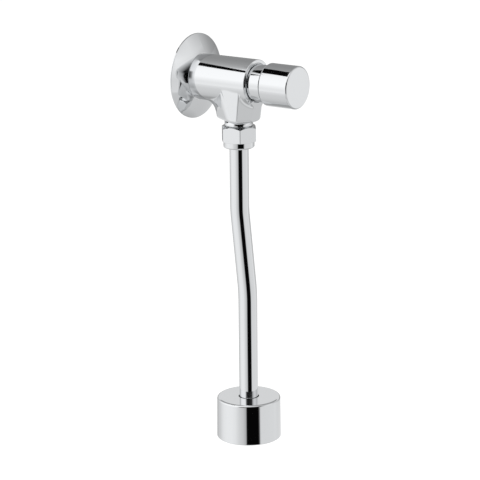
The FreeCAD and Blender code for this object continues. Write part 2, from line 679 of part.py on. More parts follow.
def biarc(start, start_along, end, end_along):
    """Two arcs that meet smoothly and keep the direction at both ends."""
    span = end - start
    a = 2 * (start_along.dot(end_along) - 1)
    b = -2 * span.dot(start_along + end_along)
    c = span.dot(span)
    reach = (-b - math.sqrt(b * b - 4 * a * c)) / (2 * a)
    if reach < 0:
        reach = (-b + math.sqrt(b * b - 4 * a * c)) / (2 * a)
    first = start + start_along * reach
    second = end - end_along * reach
    joint = (first + second) / 2
    return [arc_between(start, first, joint), arc_between(joint, second, end)]


def return_spring():
    """Compression spring between the cage's web and the piston, one unbroken round wire."""
    lift = SPRING_WIRE / 2 + SEATED
    height = PISTON_BACK - SPRING_SEAT - 2 * lift
    steps = SPRING_TURNS * 4
    edges = []
    for i in range(steps):
        edges += biarc(*spring_point(i / 4, height), *spring_point((i + 1) / 4, height))
    point, along = spring_point(0, height)
    section = Part.Wire([Part.makeCircle(SPRING_WIRE / 2, point, along)])
    shape = Part.Wire(edges).makePipeShell([section], True, False)
    gaps = [
        spring_point(i / 16 + 1, height)[0].distanceToPoint(spring_point(i / 16 + shift, height)[0])
        for i in range(16 * (SPRING_TURNS - 1)) for shift in (0, 0.01, -0.01) if i / 16 + shift >= 0]
    print("return_spring least gap to itself", round(min(gaps) - SPRING_WIRE, 3), "mm")
    shape.translate(Vector(0, 0, SPRING_SEAT + lift))
    return on_valve_axis(shape)


def flush_tube():
    """Chromed brass pipe: a straight drop, a gentle set away from the wall, a straight foot."""
    corners = [
        Vector(0, -OUTLET_PLACE, -SOCKET_TOP - LOOSE), Vector(0, -OUTLET_PLACE, -UPPER_BEND_DEPTH),
        Vector(0, -PIPE_FOOT_PLACE, -LOWER_BEND_DEPTH), Vector(0, -PIPE_FOOT_PLACE, -PIPE_END_DEPTH)]
    radii = [UPPER_BEND_R, LOWER_BEND_R]
    edges = []
    start = corners[0]
    for i, radius in enumerate(radii):
        corner = corners[i + 1]
        back = (corners[i] - corner).normalize()
        on = (corners[i + 2] - corner).normalize()
        reach = radius / math.tan(back.getAngle(on) / 2)
        edges.append(Part.LineSegment(start, corner + back * reach).toShape())
        edges.append(arc_between(corner + back * reach, corner, corner + on * reach))
        start = corner + on * reach
    edges.append(Part.LineSegment(start, corners[-1]).toShape())
    path = Part.Wire(edges)
    solids = []
    for radius in (PIPE_R, PIPE_R - PIPE_WALL):
        section = Part.Wire([Part.makeCircle(radius, corners[0], Vector(0, 0, 1))])
        solids.append(path.makePipeShell([section], True, False))
    return solids[0].cut(solids[1])


def cone_seal():
    """Rubber wedge ring squeezed between the pipe and the nipple's flared mouth."""
    base = SLIP_RING_TOP - CONE_SEAL_BASE
    inner_r = PIPE_R + RUNNING
    slope = CONE_FLARE / CONE_DEPTH
    tip = SLIP_RING_TOP - CONE_SEAL_HEIGHT
    edge_r = SOCKET_R + slope * (base - NIPPLE_END + CONE_DEPTH) - SLIDING
    tip_r = SOCKET_R + slope * (tip - NIPPLE_END + CONE_DEPTH) - SLIDING
    return hung([
        (inner_r, SLIP_RING_TOP), (CONE_SEAL_R, SLIP_RING_TOP), (CONE_SEAL_R, base), (edge_r, base),
        (max(tip_r, inner_r + 0.2), tip), (inner_r, tip)], OUTLET_PLACE)


def slip_ring():
    """Flat brass ring that keeps the turning nut off the rubber."""
    return hung_tube(PIPE_R + SLIDING, SLIP_RING_R, SLIP_RING_TOP, NUT_FLOOR_TOP, OUTLET_PLACE)


def union_nut():
    """Hexagon union nut with chamfered corners and a round collar at its foot."""
    corner_r = NUT_FLATS / math.sqrt(3)
    blank = hex_prism(NUT_FLATS, NUT_HEX_LENGTH)
    blank.rotate(Vector(0, 0, 0), Vector(0, 0, 1), NUT_TURN_ANGLE)
    blank.translate(Vector(0, -OUTLET_PLACE, -NUT_HEX_END))
    drop = NUT_CHAMFER * 0.6
    flat_r = NUT_FLATS / 2 - NUT_CHAMFER * 0.4
    envelope = hung([
        (0, NUT_TOP), (flat_r, NUT_TOP), (corner_r + 0.2, NUT_TOP + NUT_CHAMFER * 1.4),
        (corner_r + 0.2, NUT_HEX_END - drop), (NUT_FLATS / 2, NUT_HEX_END), (0, NUT_HEX_END)],
        OUTLET_PLACE)
    collar = hung([
        (0, NUT_HEX_END - 1), (NUT_COLLAR_R, NUT_HEX_END - 1),
        (NUT_COLLAR_R, NUT_END, NUT_COLLAR_ROUND), (0, NUT_END)], OUTLET_PLACE)
    bore_r = NIPPLE_THREAD_R + SLIDING
    bore = hung([
        (0, NUT_TOP - 1), (bore_r + 0.5, NUT_TOP - 1), (bore_r + 0.5, NUT_TOP), (bore_r, NUT_TOP + 0.5),
        (bore_r, NUT_FLOOR_TOP), (PIPE_R + LOOSE, NUT_FLOOR_TOP), (PIPE_R + LOOSE, NUT_END + 1),
        (0, NUT_END + 1)], OUTLET_PLACE)
    return blank.common(envelope).fuse(collar).cut(bore)


def cup_groove_top():
    """Depth of the top of the grip ring's groove."""
    return CUP_TOP_DEPTH + CUP_HUB_LENGTH / 2 - GRIP_SECTION_R - SEATED


def cup_cover():
    """Polished cup that slides down the pipe to hide the spud, open below."""
    inner_rim_r = CUP_RIM_R - CUP_WALL
    inner_top_r = CUP_TOP_R - CUP_WALL
    plate = CUP_TOP_DEPTH + CUP_WALL
    hub_end = CUP_TOP_DEPTH + CUP_HUB_LENGTH
    groove = cup_groove_top()
    groove_end = groove + 2 * (GRIP_SECTION_R + SEATED)
    return hung([
        (CUP_HOLE_R, CUP_TOP_DEPTH), (CUP_TOP_R, CUP_TOP_DEPTH, CUP_TOP_ROUND),
        (CUP_RIM_R, CUP_RIM_DEPTH, 0.4), (inner_rim_r, CUP_RIM_DEPTH),
        (inner_top_r, plate, CUP_TOP_ROUND / 2), (CUP_HUB_R, plate, 0.5), (CUP_HUB_R, hub_end),
        (CUP_HOLE_R, hub_end), (CUP_HOLE_R, groove_end), (GRIP_GROOVE_R, groove_end), (GRIP_GROOVE_R, groove),
        (CUP_HOLE_R, groove)], PIPE_FOOT_PLACE)


def cup_grip_ring():
    """Seal ring in the cup's hole that holds it where it is pushed on the pipe."""
    shape = seal_ring(
        PIPE_R + RUNNING + GRIP_SECTION_R, GRIP_SECTION_R, -(cup_groove_top() + GRIP_SECTION_R + SEATED))
    shape.translate(Vector(0, -PIPE_FOOT_PLACE, 0))
    return shape


def spud_seal():
    """Flanged rubber plug on the pipe, whose straight land fills the urinal's inlet hole."""
    inner_r = PIPE_R + SEATED
    flange_end = SPUD_SEAL_TOP + SPUD_SEAL_FLANGE
    return hung([
        (inner_r, SPUD_SEAL_TOP), (SPUD_SEAL_FLANGE_R, SPUD_SEAL_TOP, 0.6),
        (SPUD_SEAL_FLANGE_R, flange_end, 0.6), (SPUD_SEAL_RELIEF_R, flange_end),
        (SPUD_SEAL_RELIEF_R, SPUD_SEAL_LAND_TOP), (SPUD_SEAL_LAND_R, SPUD_SEAL_LAND_TOP),
        (SPUD_SEAL_LAND_R, SPUD_SEAL_LAND_END), (SPUD_SEAL_TIP_R, SPUD_SEAL_END, 0.8),
        (inner_r, SPUD_SEAL_END)], PIPE_FOOT_PLACE)


PIECES = {
    "wall_rosette": wall_rosette,
    "valve_body": valve_body,
    "strainer": strainer,
    "strainer_ring": strainer_ring,
    "seat_ring": seat_ring,
    "cartridge_cage": cartridge_cage,
    "cage_ring": cage_ring,
    "bonnet": bonnet,
    "bonnet_ring": bonnet_ring,
    "rod_seal": rod_seal,
    "rod_guide_bush": rod_guide_bush,
    "return_spring": return_spring,
    "push_rod": push_rod,
    "seat_washer": seat_washer,
    "disc_holder": disc_holder,
    "disc_nut": disc_nut,
    "piston": piston,
    "lip_seal": lip_seal,
    "piston_clip": piston_clip,
    "button_cap": button_cap,
    "cap_insert": cap_insert,
    "flush_tube": flush_tube,
    "cone_seal": cone_seal,
    "slip_ring": slip_ring,
    "union_nut": union_nut,
    "cup_cover": cup_cover,
    "cup_grip_ring": cup_grip_ring,
    "spud_seal": spud_seal,
}

os.makedirs("parts", exist_ok=True)
for name, make in PIECES.items():
    piece = make()
    solids = piece.Solids
    piece = solids[0] if len(solids) == 1 else Part.makeCompound(solids)
    piece.exportStep("parts/" + name + ".step")
    box = piece.BoundBox
    print(
        name, "solids", len(solids), "valid", piece.isValid(), "mm3", round(piece.Volume, 1),
        "from wall", round(-box.YMax, 2), round(-box.YMin, 2), "z", round(box.ZMin, 2), round(box.ZMax, 2))
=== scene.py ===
# %% [markdown]
# # A push-button flush valve in polished chrome
# The object hangs on a wall: a rosette covers the hole, a brass body points out of the wall with a
# push button on its front, and a pipe drops from the body into a cup that hides the joint with the
# ceramic below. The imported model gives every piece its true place, so this lesson only gives the
# pieces their skins, their finishes and the studio that polished chrome needs around it.

# %% Load the fixed model and measure it
import json
import math

import bpy
import numpy as np
from mathutils import Matrix, Vector


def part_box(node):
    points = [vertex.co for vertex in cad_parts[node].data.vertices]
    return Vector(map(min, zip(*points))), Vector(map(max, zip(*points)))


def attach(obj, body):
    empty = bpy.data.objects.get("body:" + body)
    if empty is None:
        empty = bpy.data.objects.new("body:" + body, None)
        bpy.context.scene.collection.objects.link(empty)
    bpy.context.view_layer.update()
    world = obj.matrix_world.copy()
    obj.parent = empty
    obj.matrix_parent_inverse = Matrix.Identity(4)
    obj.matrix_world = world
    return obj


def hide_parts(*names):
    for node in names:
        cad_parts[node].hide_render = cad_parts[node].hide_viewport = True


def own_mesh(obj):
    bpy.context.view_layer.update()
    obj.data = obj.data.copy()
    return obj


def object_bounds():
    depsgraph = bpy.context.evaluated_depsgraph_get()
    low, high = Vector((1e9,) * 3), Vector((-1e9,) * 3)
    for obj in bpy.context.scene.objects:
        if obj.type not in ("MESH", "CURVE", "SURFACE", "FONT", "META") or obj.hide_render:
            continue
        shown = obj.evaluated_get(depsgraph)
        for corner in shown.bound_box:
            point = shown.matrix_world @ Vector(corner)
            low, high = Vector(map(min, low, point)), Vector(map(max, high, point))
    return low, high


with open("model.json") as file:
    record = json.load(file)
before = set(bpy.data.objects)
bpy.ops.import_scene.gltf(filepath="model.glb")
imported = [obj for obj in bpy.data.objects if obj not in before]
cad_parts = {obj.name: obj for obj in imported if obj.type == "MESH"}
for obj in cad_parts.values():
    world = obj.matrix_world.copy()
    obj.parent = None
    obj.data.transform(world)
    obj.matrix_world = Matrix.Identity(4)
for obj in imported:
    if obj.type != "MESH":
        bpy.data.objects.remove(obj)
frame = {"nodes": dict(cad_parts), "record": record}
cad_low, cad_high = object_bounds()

MM = 0.001
print("CAD box, mm:", [round(c / MM, 1) for c in (cad_high - cad_low)])

# %% [markdown]
# ## How the skins are made
# Nearly every piece of a valve is turned on a lathe, so its skin is an outline carried round an
# axis. It could be a screw modifier on a curve, or a stack of primitive cylinders. Here the outline
# is worked out as an array, because then each corner gets its true small radius. Chrome shows every
# error of a surface as a kink in its reflections, so the shading normals are worked out from the
# same array too, and are not left to the average of the faces.

# %% An outline with rounded corners
ARC_STEPS = 9
HIDDEN_ARC_STEPS = 4


def rounded(corners, closed=True, steps=ARC_STEPS):
    """Points along a polygon whose corners are replaced by tangent arcs.

    A corner is (radius, height) or (radius, height, rounding). The arc leaves its two sides at the
    rounding divided by the tangent of half the angle between them.
    """
    flat = np.array([c[:2] for c in corners], float)
    radii = [c[2] if len(c) > 2 else 0.0 for c in corners]
    points = []
    for i, radius in enumerate(radii):
        here = flat[i]
        if radius == 0.0 or (not closed and i in (0, len(radii) - 1)):
            points.append(here[None])
            continue
        back, on = flat[i - 1] - here, flat[(i + 1) % len(flat)] - here
        back, on = back / np.linalg.norm(back), on / np.linalg.norm(on)
        half = math.acos(np.clip(back @ on, -1, 1)) / 2
        centre = here + (back + on) / np.linalg.norm(back + on) * radius / math.sin(half)
        start = here + back * radius / math.tan(half) - centre
        end = here + on * radius / math.tan(half) - centre
        turn = np.linspace(0, 1, steps)[:, None]
        sweep = math.pi - 2 * half
        arc = (np.sin((1 - turn) * sweep) * start + np.sin(turn * sweep) * end) / math.sin(sweep)
        points.append(centre + arc)
    return np.concatenate(points)


square = rounded([(0, 0), (1, 0, 0.2), (1, 1), (0, 1)])
print("a square with one rounded corner has", len(square), "points")

# %% A mesh from one or more grids of points
WELD = 1e-7


def placed(name, data):
    """A new object with that mesh, lamp or camera, linked to the scene."""
    piece = bpy.data.objects.new(name, data)
    bpy.context.scene.collection.objects.link(piece)
    return piece


def placed_mesh(name, points, faces):
    """A new mesh object of those points and faces."""
    mesh = bpy.data.meshes.new(name)
    mesh.from_pydata(points, [], faces)
    return placed(name, mesh)


def full_turn(columns):
    """Angles of the columns round a full turn, as one row of a grid."""
    return np.linspace(0, 2 * math.pi, columns, endpoint=False)[None, :]


def grid_faces(rows, columns, wrap_rows, wrap_columns):
    """Index array of the quads between neighbouring rows and columns, closed round where asked."""
    i = np.arange(rows if wrap_rows else rows - 1)[:, None]
    j = np.arange(columns if wrap_columns else columns - 1)[None, :]
    i_next, j_next = (i + 1) % rows, (j + 1) % columns
    corners = [i * columns + j, i * columns + j_next, i_next * columns + j_next, i_next * columns + j]
    return np.stack(corners, -1).reshape(-1, 4)


def grid_normals(points, wrap_rows, wrap_columns):
    """Normals by central difference: the step across the columns crossed with the one across the rows."""
    def across(axis, wrap):
        step = np.roll(points, -1, axis) - np.roll(points, 1, axis)
        if not wrap:
            first, last = [slice(None)] * 3, [slice(None)] * 3
            first[axis], last[axis] = 0, -1
            ahead = np.diff(points, axis=axis)
            step[tuple(first)], step[tuple(last)] = ahead[tuple(first)], ahead[tuple(last)]
        return step
    normals = np.cross(across(1, wrap_columns), across(0, wrap_rows))
    return normals / np.maximum(np.linalg.norm(normals, axis=-1, keepdims=True), 1e-12)


def solid_from_grids(name, grids):
    """One mesh object from grids of (points, wrap rows, wrap columns), with normals after them if known.

    Points that fall together, as at a pole on the axis, are welded, and each grid is turned inside
    out if the volume that its triangles enclose comes out negative.
    """
    all_points, all_normals, all_quads, offset = [], [], [], 0
    for points, wrap_rows, wrap_columns, *known in grids:
        normals = known[0] if known else grid_normals(points, wrap_rows, wrap_columns)
        quads = grid_faces(*points.shape[:2], wrap_rows, wrap_columns)
        flat = points.reshape(-1, 3)
        centred = flat - flat.mean(0)
        a, b, c, d = (centred[quads[:, k]] for k in range(4))
        volume = (np.cross(a, b) * c).sum() + (np.cross(a, c) * d).sum()
        if volume < 0:
            quads = quads[:, ::-1]
        a, b, d = flat[quads[:, 0]], flat[quads[:, 1]], flat[quads[:, 3]]
        facing = (np.cross(b - a, d - a) * normals.reshape(-1, 3)[quads[:, 0]]).sum()
        all_points.append(flat)
        all_normals.append(normals.reshape(-1, 3) * (1 if facing > 0 else -1))
        all_quads.append(quads + offset)
        offset += len(flat)
    points, quads = np.concatenate(all_points), np.concatenate(all_quads)
    keys = np.round(points / WELD).astype(np.int64)
    _, first, welded = np.unique(keys, axis=0, return_index=True, return_inverse=True)
    quads = welded.reshape(-1)[quads]
    repeats = quads == np.roll(quads, -1, 1)
    corners = (~repeats).sum(1)
    faces = [q.tolist() for q in quads[corners == 4]]
    faces += [q[~r].tolist() for q, r in zip(quads[corners == 3], repeats[corners == 3])]
    piece = placed_mesh(name, points[first].tolist(), faces)
    mesh = piece.data
    mesh.polygons.foreach_set("use_smooth", np.ones(len(faces), bool))
    mesh.normals_split_custom_set_from_vertices(np.concatenate(all_normals)[first].tolist())
    mesh.update()
    print(name, "has", len(mesh.vertices), "points and", len(faces), "faces")
    return piece


print("a 4 by 5 grid closed both ways has", len(grid_faces(4, 5, True, True)), "faces")

# %% Carry an outline round the valve's axis or round a vertical
COLUMNS = 256
FINE_COLUMNS = 384


def round_valve_axis(radius, place, angles):
    """Points at a radius from the valve's axis and a distance from the wall, by angle from the top."""
    return np.stack([radius * np.sin(angles), -(place + 0 * angles), radius * np.cos(angles)], -1)


def round_vertical(radius, depth, angles, place):
    """Points at a radius from a vertical that stands out from the wall, and at a depth under the axis."""
    return np.stack([radius * np.cos(angles), radius * np.sin(angles) - place, -(depth + 0 * angles)], -1)


def turned(name, corners, place=None, columns=COLUMNS):
    """A lathe piece from corners in millimetres, on the valve's axis or hung at a place.

    The outline's step to the next point plus the step from the last one, turned a quarter, gives the
    normal. On the axis only the step that leaves the axis counts, so a flat face stays flat there.
    """
    outline = rounded(corners) * MM
    angles = full_turn(columns)
    ahead, behind = np.roll(outline, -1, 0) - outline, outline - np.roll(outline, 1, 0)
    outline_step = ahead + behind
    pole = outline[:, 0] == 0
    outline_step[pole] = np.where(np.roll(pole, 1)[pole, None], ahead[pole], behind[pole])
    across = np.stack([outline_step[:, 1], -outline_step[:, 0]], -1)
    across /= np.maximum(np.linalg.norm(across, axis=1, keepdims=True), 1e-12)
    radius, height, out, up = (column[:, None] for column in (*outline.T, *across.T))
    if place is None:
        points, normals = round_valve_axis(radius, height, angles), round_valve_axis(out, up, angles)
    else:
        points = round_vertical(radius, height, angles, place)
        normals = round_vertical(out, up, angles, 0)
    return solid_from_grids(name, [(points, True, True, normals)])


print("a full turn has", COLUMNS, "columns")

# %% [markdown]
# ## The finishes
# The shell of the valve is brass under nickel and chromium: a mirror with no colour of its own, so
# its material is a bright metal with almost no roughness. Real plate isn't perfect. It has a very
# faint waviness from the polishing wheel and a bloom that shows only in the highlights. Both could
# be painted textures. Here they are noise read at the object's own coordinates, so they stay put on
# the metal from every side.

# %% Small helpers for node materials
NOISE_LOW, NOISE_HIGH = 0.3, 0.7


def new_material(name, base, metallic, roughness):
    """A Principled material, its nodes, its links and its shader."""
    material = bpy.data.materials.new(name)
    material.use_nodes = True
    nodes, links = material.node_tree.nodes, material.node_tree.links
    shader = nodes["Principled BSDF"]
    shader.inputs["Base Color"].default_value = (*base, 1)
    shader.inputs["Metallic"].default_value = metallic
    shader.inputs["Roughness"].default_value = roughness
    return material, nodes, links, shader


def object_noise(nodes, links, scale, detail=2.0, stretch=(1, 1, 1)):
    """Noise at the object's own coordinates; stretch squeezes it along an axis, as a lathe does."""
    coordinates = nodes.new("ShaderNodeTexCoord")
    mapping = nodes.new("ShaderNodeMapping")
    mapping.inputs["Scale"].default_value = stretch
    noise = nodes.new("ShaderNodeTexNoise")
    noise.inputs["Scale"].default_value = scale
    noise.inputs["Detail"].default_value = detail
    links.new(coordinates.outputs["Object"], mapping.inputs["Vector"])
    links.new(mapping.outputs["Vector"], noise.inputs["Vector"])
    return noise.outputs["Fac"]


def ranged(nodes, links, source, low, high, from_low=NOISE_LOW, from_high=NOISE_HIGH):
    """A value spread between two numbers."""
    node = nodes.new("ShaderNodeMapRange")
    for key, value in zip(("From Min", "From Max", "To Min", "To Max"), (from_low, from_high, low, high)):
        node.inputs[key].default_value = value
    links.new(source, node.inputs["Value"])
    return node.outputs["Result"]


def tinted(nodes, links, source, dark, light):
    """A colour between two colours by a value."""
    ramp = nodes.new("ShaderNodeValToRGB")
    for element, place, colour in zip(ramp.color_ramp.elements, (NOISE_LOW, NOISE_HIGH), (dark, light)):
        element.position = place
        element.color = (*colour, 1)
    links.new(source, ramp.inputs["Fac"])
    return ramp.outputs["Color"]


def bumped(nodes, links, shader, source, depth, strength=1.0):
    """Relief from a value, with its depth in metres."""
    bump = nodes.new("ShaderNodeBump")
    bump.inputs["Strength"].default_value = strength
    bump.inputs["Distance"].default_value = depth
    links.new(source, bump.inputs["Height"])
    links.new(bump.outputs["Normal"], shader.inputs["Normal"])


print("node helpers are ready")

# %% Polished chromium plate
CHROME = (0.80, 0.81, 0.82)
BLOOM, WAVES = (90, 3.0), (160, 1.0)


def finish(look, tint, rough, relief):
    """A material whose colour, roughness and relief follow noises at the object's own coordinates.

    look is its name, colour, metallic share and roughness. Each of the others starts with a noise's
    scale, detail and stretch. Then come a dark and a light colour, a low and a high roughness, or
    the relief's depth in metres and its strength.
    """
    material, nodes, links, shader = new_material(*look)
    if tint:
        colour = tinted(nodes, links, object_noise(nodes, links, *tint[0]), *tint[1:])
        links.new(colour, shader.inputs["Base Color"])
    spread = ranged(nodes, links, object_noise(nodes, links, *rough[0]), *rough[1:])
    links.new(spread, shader.inputs["Roughness"])
    bumped(nodes, links, shader, object_noise(nodes, links, *relief[0]), *relief[1:])
    return material


chrome = finish(("polished_chrome", CHROME, 1.0, 0.03), None, (BLOOM, 0.016, 0.045), (WAVES, 2e-6, 0.35))
print(chrome.name, "base colour", CHROME)

# %% [markdown]
# ## Inside finishes
# What the shell hides is plainer: turned brass with the fine rings of the tool and an uneven
# tarnish, drawn stainless wire and rod with the die's lengthwise streaks, waxy white acetal with a
# spark-eroded grain, and matt black rubber with a grey bloom on a soft skin. They could be plain
# colours. Each one gets the mark that its making leaves, at its real size, as a noise.

# %% Brass, steel, acetal and rubber
TOOL_RINGS, TARNISH = (900, 1.0, (0.05, 4.0, 0.05)), (140, 3.0)
DIE_STREAKS, SPARK_GRAIN = (700, 2.0, (3.0, 0.15, 3.0)), (2500, 2.0)
GREY_BLOOM, SOFT_SKIN = (400, 4.0), (1800, 2.0)
WAXY = {"Subsurface Weight": 0.15, "Subsurface Scale": 0.001}
FINISHES = {
    "chrome_plate": chrome,
    "brass": finish(
        ("turned_brass", (0.72, 0.52, 0.24), 1.0, 0.25),
        (TARNISH, (0.60, 0.41, 0.18), (0.80, 0.60, 0.30)), (TOOL_RINGS, 0.18, 0.34),
        (TOOL_RINGS, 4e-6, 0.6)),
    "stainless_steel": finish(
        ("drawn_stainless", (0.60, 0.60, 0.58), 1.0, 0.2),
        (DIE_STREAKS, (0.50, 0.50, 0.49), (0.68, 0.68, 0.66)), (DIE_STREAKS, 0.14, 0.30),
        (DIE_STREAKS, 3e-6, 0.5)),
    "white_acetal": finish(
        ("moulded_acetal", (0.84, 0.84, 0.81), 0.0, 0.42),
        (SPARK_GRAIN, (0.80, 0.80, 0.77), (0.87, 0.87, 0.84)), (SPARK_GRAIN, 0.36, 0.50),
        (SPARK_GRAIN, 8e-6, 0.4)),
    "black_rubber": finish(
        ("nitrile_rubber", (0.025, 0.025, 0.027), 0.0, 0.6),
        (GREY_BLOOM, (0.018, 0.018, 0.020), (0.045, 0.045, 0.048)), (GREY_BLOOM, 0.52, 0.72),
        (SOFT_SKIN, 1.2e-5, 0.5)),
}
for key, value in WAXY.items():
    FINISHES["white_acetal"].node_tree.nodes["Principled BSDF"].inputs[key].default_value = value
for part in frame["record"]["subparts"]:
    node = frame["nodes"][part["node"]]
    node.data.materials.clear()
    node.data.materials.append(FINISHES[part["material_slot"]])
print("finishes on", len(frame["nodes"]), "CAD nodes")


def dress(piece, body, slot, *nodes):
    """Gives a piece its finish, lets it ride on its body and stand for the CAD nodes that it replaces."""
    piece.data.materials.append(FINISHES[slot])
    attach(piece, body)
    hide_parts(*nodes)
    return piece


# %% [markdown]
# ## The rosette
# A spun sheet dish that only hides the hole in the wall. Its rim stands against the tiles and its
# face rises in a shallow dome to the hole, where it turns round the body's shoulder. It could be a
# cut sphere with a solidify modifier. A spun dish is a lathe piece with a wall, so here its outline
# goes over the front and comes back under the sheet.

# %% Rosette
ROSETTE_R = 33.65
ROSETTE_HOLE_R = 18.3
ROSETTE_RISE = 6.48
ROSETTE_RIM = 1.1
ROSETTE_SHEET = 0.8
ROSETTE_TILTS = (12.85, 25.3)


def dome(radii):
    """Height over the wall: the tilt grows evenly from the hole to the rim, scaled to the rise."""
    span = ROSETTE_R - ROSETTE_HOLE_R
    share = (radii - ROSETTE_HOLE_R) / span
    inner, outer = (math.tan(math.radians(t)) for t in ROSETTE_TILTS)
    fall = inner * share + (outer - inner) * share ** 2 / 2
    return ROSETTE_RISE - (ROSETTE_RISE - ROSETTE_RIM) * fall / (inner + (outer - inner) / 2)


front_radii = np.linspace(ROSETTE_R, ROSETTE_HOLE_R, 40)[1:-1]
back_radii = front_radii[::-1]
back_radii = back_radii[back_radii < ROSETTE_R - ROSETTE_SHEET]
dress(turned("spun_rosette", [
    (ROSETTE_R, 0, 0.15), (ROSETTE_R, ROSETTE_RIM, 0.3), *zip(front_radii, dome(front_radii)),
    (ROSETTE_HOLE_R, ROSETTE_RISE, 0.2), (ROSETTE_HOLE_R, ROSETTE_RISE - ROSETTE_SHEET, 0.15),
    *zip(back_radii, dome(back_radii) - ROSETTE_SHEET),
    (ROSETTE_R - ROSETTE_SHEET, ROSETTE_RIM - ROSETTE_SHEET + 0.2), (ROSETTE_R - ROSETTE_SHEET, 0, 0.15)],
    columns=FINE_COLUMNS), "rosette", "chrome_plate", "wall_rosette")

# %% [markdown]
# ## The body casting
# The barrel and the outlet boss are one casting: the metal flows from one into the other in a round
# valley. The boss has flat sides, two facets and a front panel to hold it by, and the caster's taper
# makes it narrower towards its foot. Boolean blocks with a bevel would leave a seam that chrome shows
# at once. So the skin is where a distance falls to zero: the distance to the barrel and to the boss
# are joined with that valley, and rays sent out from inside find the surface on an even grid.

# %% The distance to the casting's skin
BODY_R = 18.17
SHOULDER = 4.0
SHOULDER_ROUND = 2.8
FRONT = 58.93
FRONT_ROUND = 0.5
OUTLET = 41.35
BOSS_HALF_WIDTH, BOSS_SIDE_SPREAD = 16.5, 0.8
BOSS_HALF_LENGTH, BOSS_END_SPREAD = 18.5, 4.6
BOSS_DEPTH = 31.0
BOSS_FOOT_ROUND = 2.5
BOSS_BLEND, FRONT_BLEND, BLEND_LENGTH, BLEND_LEAST_TURN = 9.0, 3.0, 10, 0.35
FACET_TURN, FACET_OUT, FACET_TOP = math.radians(56), 18.7, -14
FACET_DRAFT, FACET_EDGE = math.tan(math.radians(6.5)), 0.8
SLANT_TURN, SLANT_OUT, SLANT_DRAFT, SLANT_EDGE = math.radians(-30), 19.9, 0.21, 1.8
CHIN_DEPTH, CHIN_MEET, CHIN_REACH, CHIN_DRAFT = 13.0, 18.0, 1.9, math.radians(11.5)


def round_valley(a, b, cosine, radius):
    """Union of two distances with a fillet: the circle of that radius that touches both walls.

    cosine is the one between the two outward directions. Between the two tangent points the
    distance is the radius less the distance to the circle's centre, and elsewhere the smaller one.
    """
    over_a, over_b = a - radius, b - radius
    between = (over_a < over_b * cosine) & (over_b < over_a * cosine)
    squared = over_a ** 2 + over_b ** 2 - 2 * over_a * over_b * cosine
    fillet = radius - np.sqrt(squared / np.maximum(1 - cosine ** 2, 1e-6))
    return np.where(between, fillet, np.minimum(a, b))


def round_edge(a, b, radius):
    """Overlap of two distances: past the radius inside both, their hypotenuse rounds the edge."""
    corner = np.hypot(np.maximum(radius + a, 0), np.maximum(radius + b, 0))
    return np.minimum(-radius, np.maximum(a, b)) + corner


def boss_walls(x, along, z):
    """Distance to the boss's walls under the barrel; along is the distance in front of the outlet.

    The sides are flat in front of the outlet and half an oval behind it. A facet is the width times
    the cosine of its turn, plus the length times the sine, less how far out it stands. Two such
    facets close the front, two slanted ones trim the back, and all walls lean in towards the foot.
    """
    rise = 1 + z / BOSS_DEPTH
    half_width = BOSS_HALF_WIDTH + BOSS_SIDE_SPREAD * rise
    half_length = BOSS_HALF_LENGTH + BOSS_END_SPREAD * rise
    u, v = x / half_width, np.minimum(along, 0) / half_length
    oval = np.hypot(u, v) + 1e-9
    slope = np.hypot(u / half_width, v / half_length) + 1e-9
    walls = (oval - 1) * oval / slope
    facet = np.abs(x) * math.cos(FACET_TURN) + along * math.sin(FACET_TURN)
    facet -= FACET_OUT + (z - FACET_TOP) * FACET_DRAFT
    slant = np.abs(x) * math.cos(SLANT_TURN) + along * math.sin(SLANT_TURN)
    slant -= SLANT_OUT + z * SLANT_DRAFT
    return round_edge(round_edge(walls, facet, FACET_EDGE), slant, SLANT_EDGE)


def casting(x, place, z, reach=0.05):
    """Distance to the casting: barrel with a round shoulder, tapered boss, faced front and chin.

    The walls' slope, read a reach to each side, gives the angle between boss and barrel. The valley's
    radius grows with that angle, so that its width stays even, and shrinks towards the front.
    """
    out = np.hypot(x, z)
    along = place - OUTLET
    barrel = round_edge(out - BODY_R, SHOULDER - place, SHOULDER_ROUND)
    walls = boss_walls(x, along, z)
    slope_x = (boss_walls(x + reach, along, z) - boss_walls(x - reach, along, z)) / (2 * reach)
    slope_z = (boss_walls(x, along, z + reach) - boss_walls(x, along, z - reach)) / (2 * reach)
    cosine = np.clip((x * slope_x + z * slope_z) / np.maximum(out, 1e-6), 0, 0.999)
    boss = round_edge(round_edge(walls, -z - BOSS_DEPTH, BOSS_FOOT_ROUND), z, 0.01)
    turning = np.maximum(np.sqrt((1 - cosine) / (1 + cosine)), BLEND_LEAST_TURN)
    forward = np.clip(along / BLEND_LENGTH, 0, 1)
    blend = (BOSS_BLEND + (FRONT_BLEND - BOSS_BLEND) * forward ** 2 * (3 - 2 * forward)) / turning
    chin_place = FRONT + CHIN_REACH - math.tan(CHIN_DRAFT) * (-z - CHIN_DEPTH)
    chin = round_edge(CHIN_DEPTH + z, (place - chin_place) * math.cos(CHIN_DRAFT), FRONT_ROUND)
    front = round_valley(np.maximum(place - FRONT, -CHIN_MEET - z), chin, 0.0, FRONT_ROUND)
    return round_edge(round_valley(barrel, boss, cosine, blend), front, FRONT_ROUND)


barrel_top = casting(np.float64(0), 30.0, np.float64(BODY_R))
print("distance at the top of the barrel:", round(float(barrel_top), 4), "mm")

# %% Rays that find the skin on an even grid
SKIN_ROWS = 184
SKIN_COLUMNS = 240
SKIN_EASING = 8
NECK_R = 14.1
GROOVE_R = 15.4
RAY_ENDS, RAY_COUNT, RAY_REACH, HALVINGS = (30, 164), 1300, 60.0, 30
ROW_LENGTH, ROW_BEND = 0.32, 5


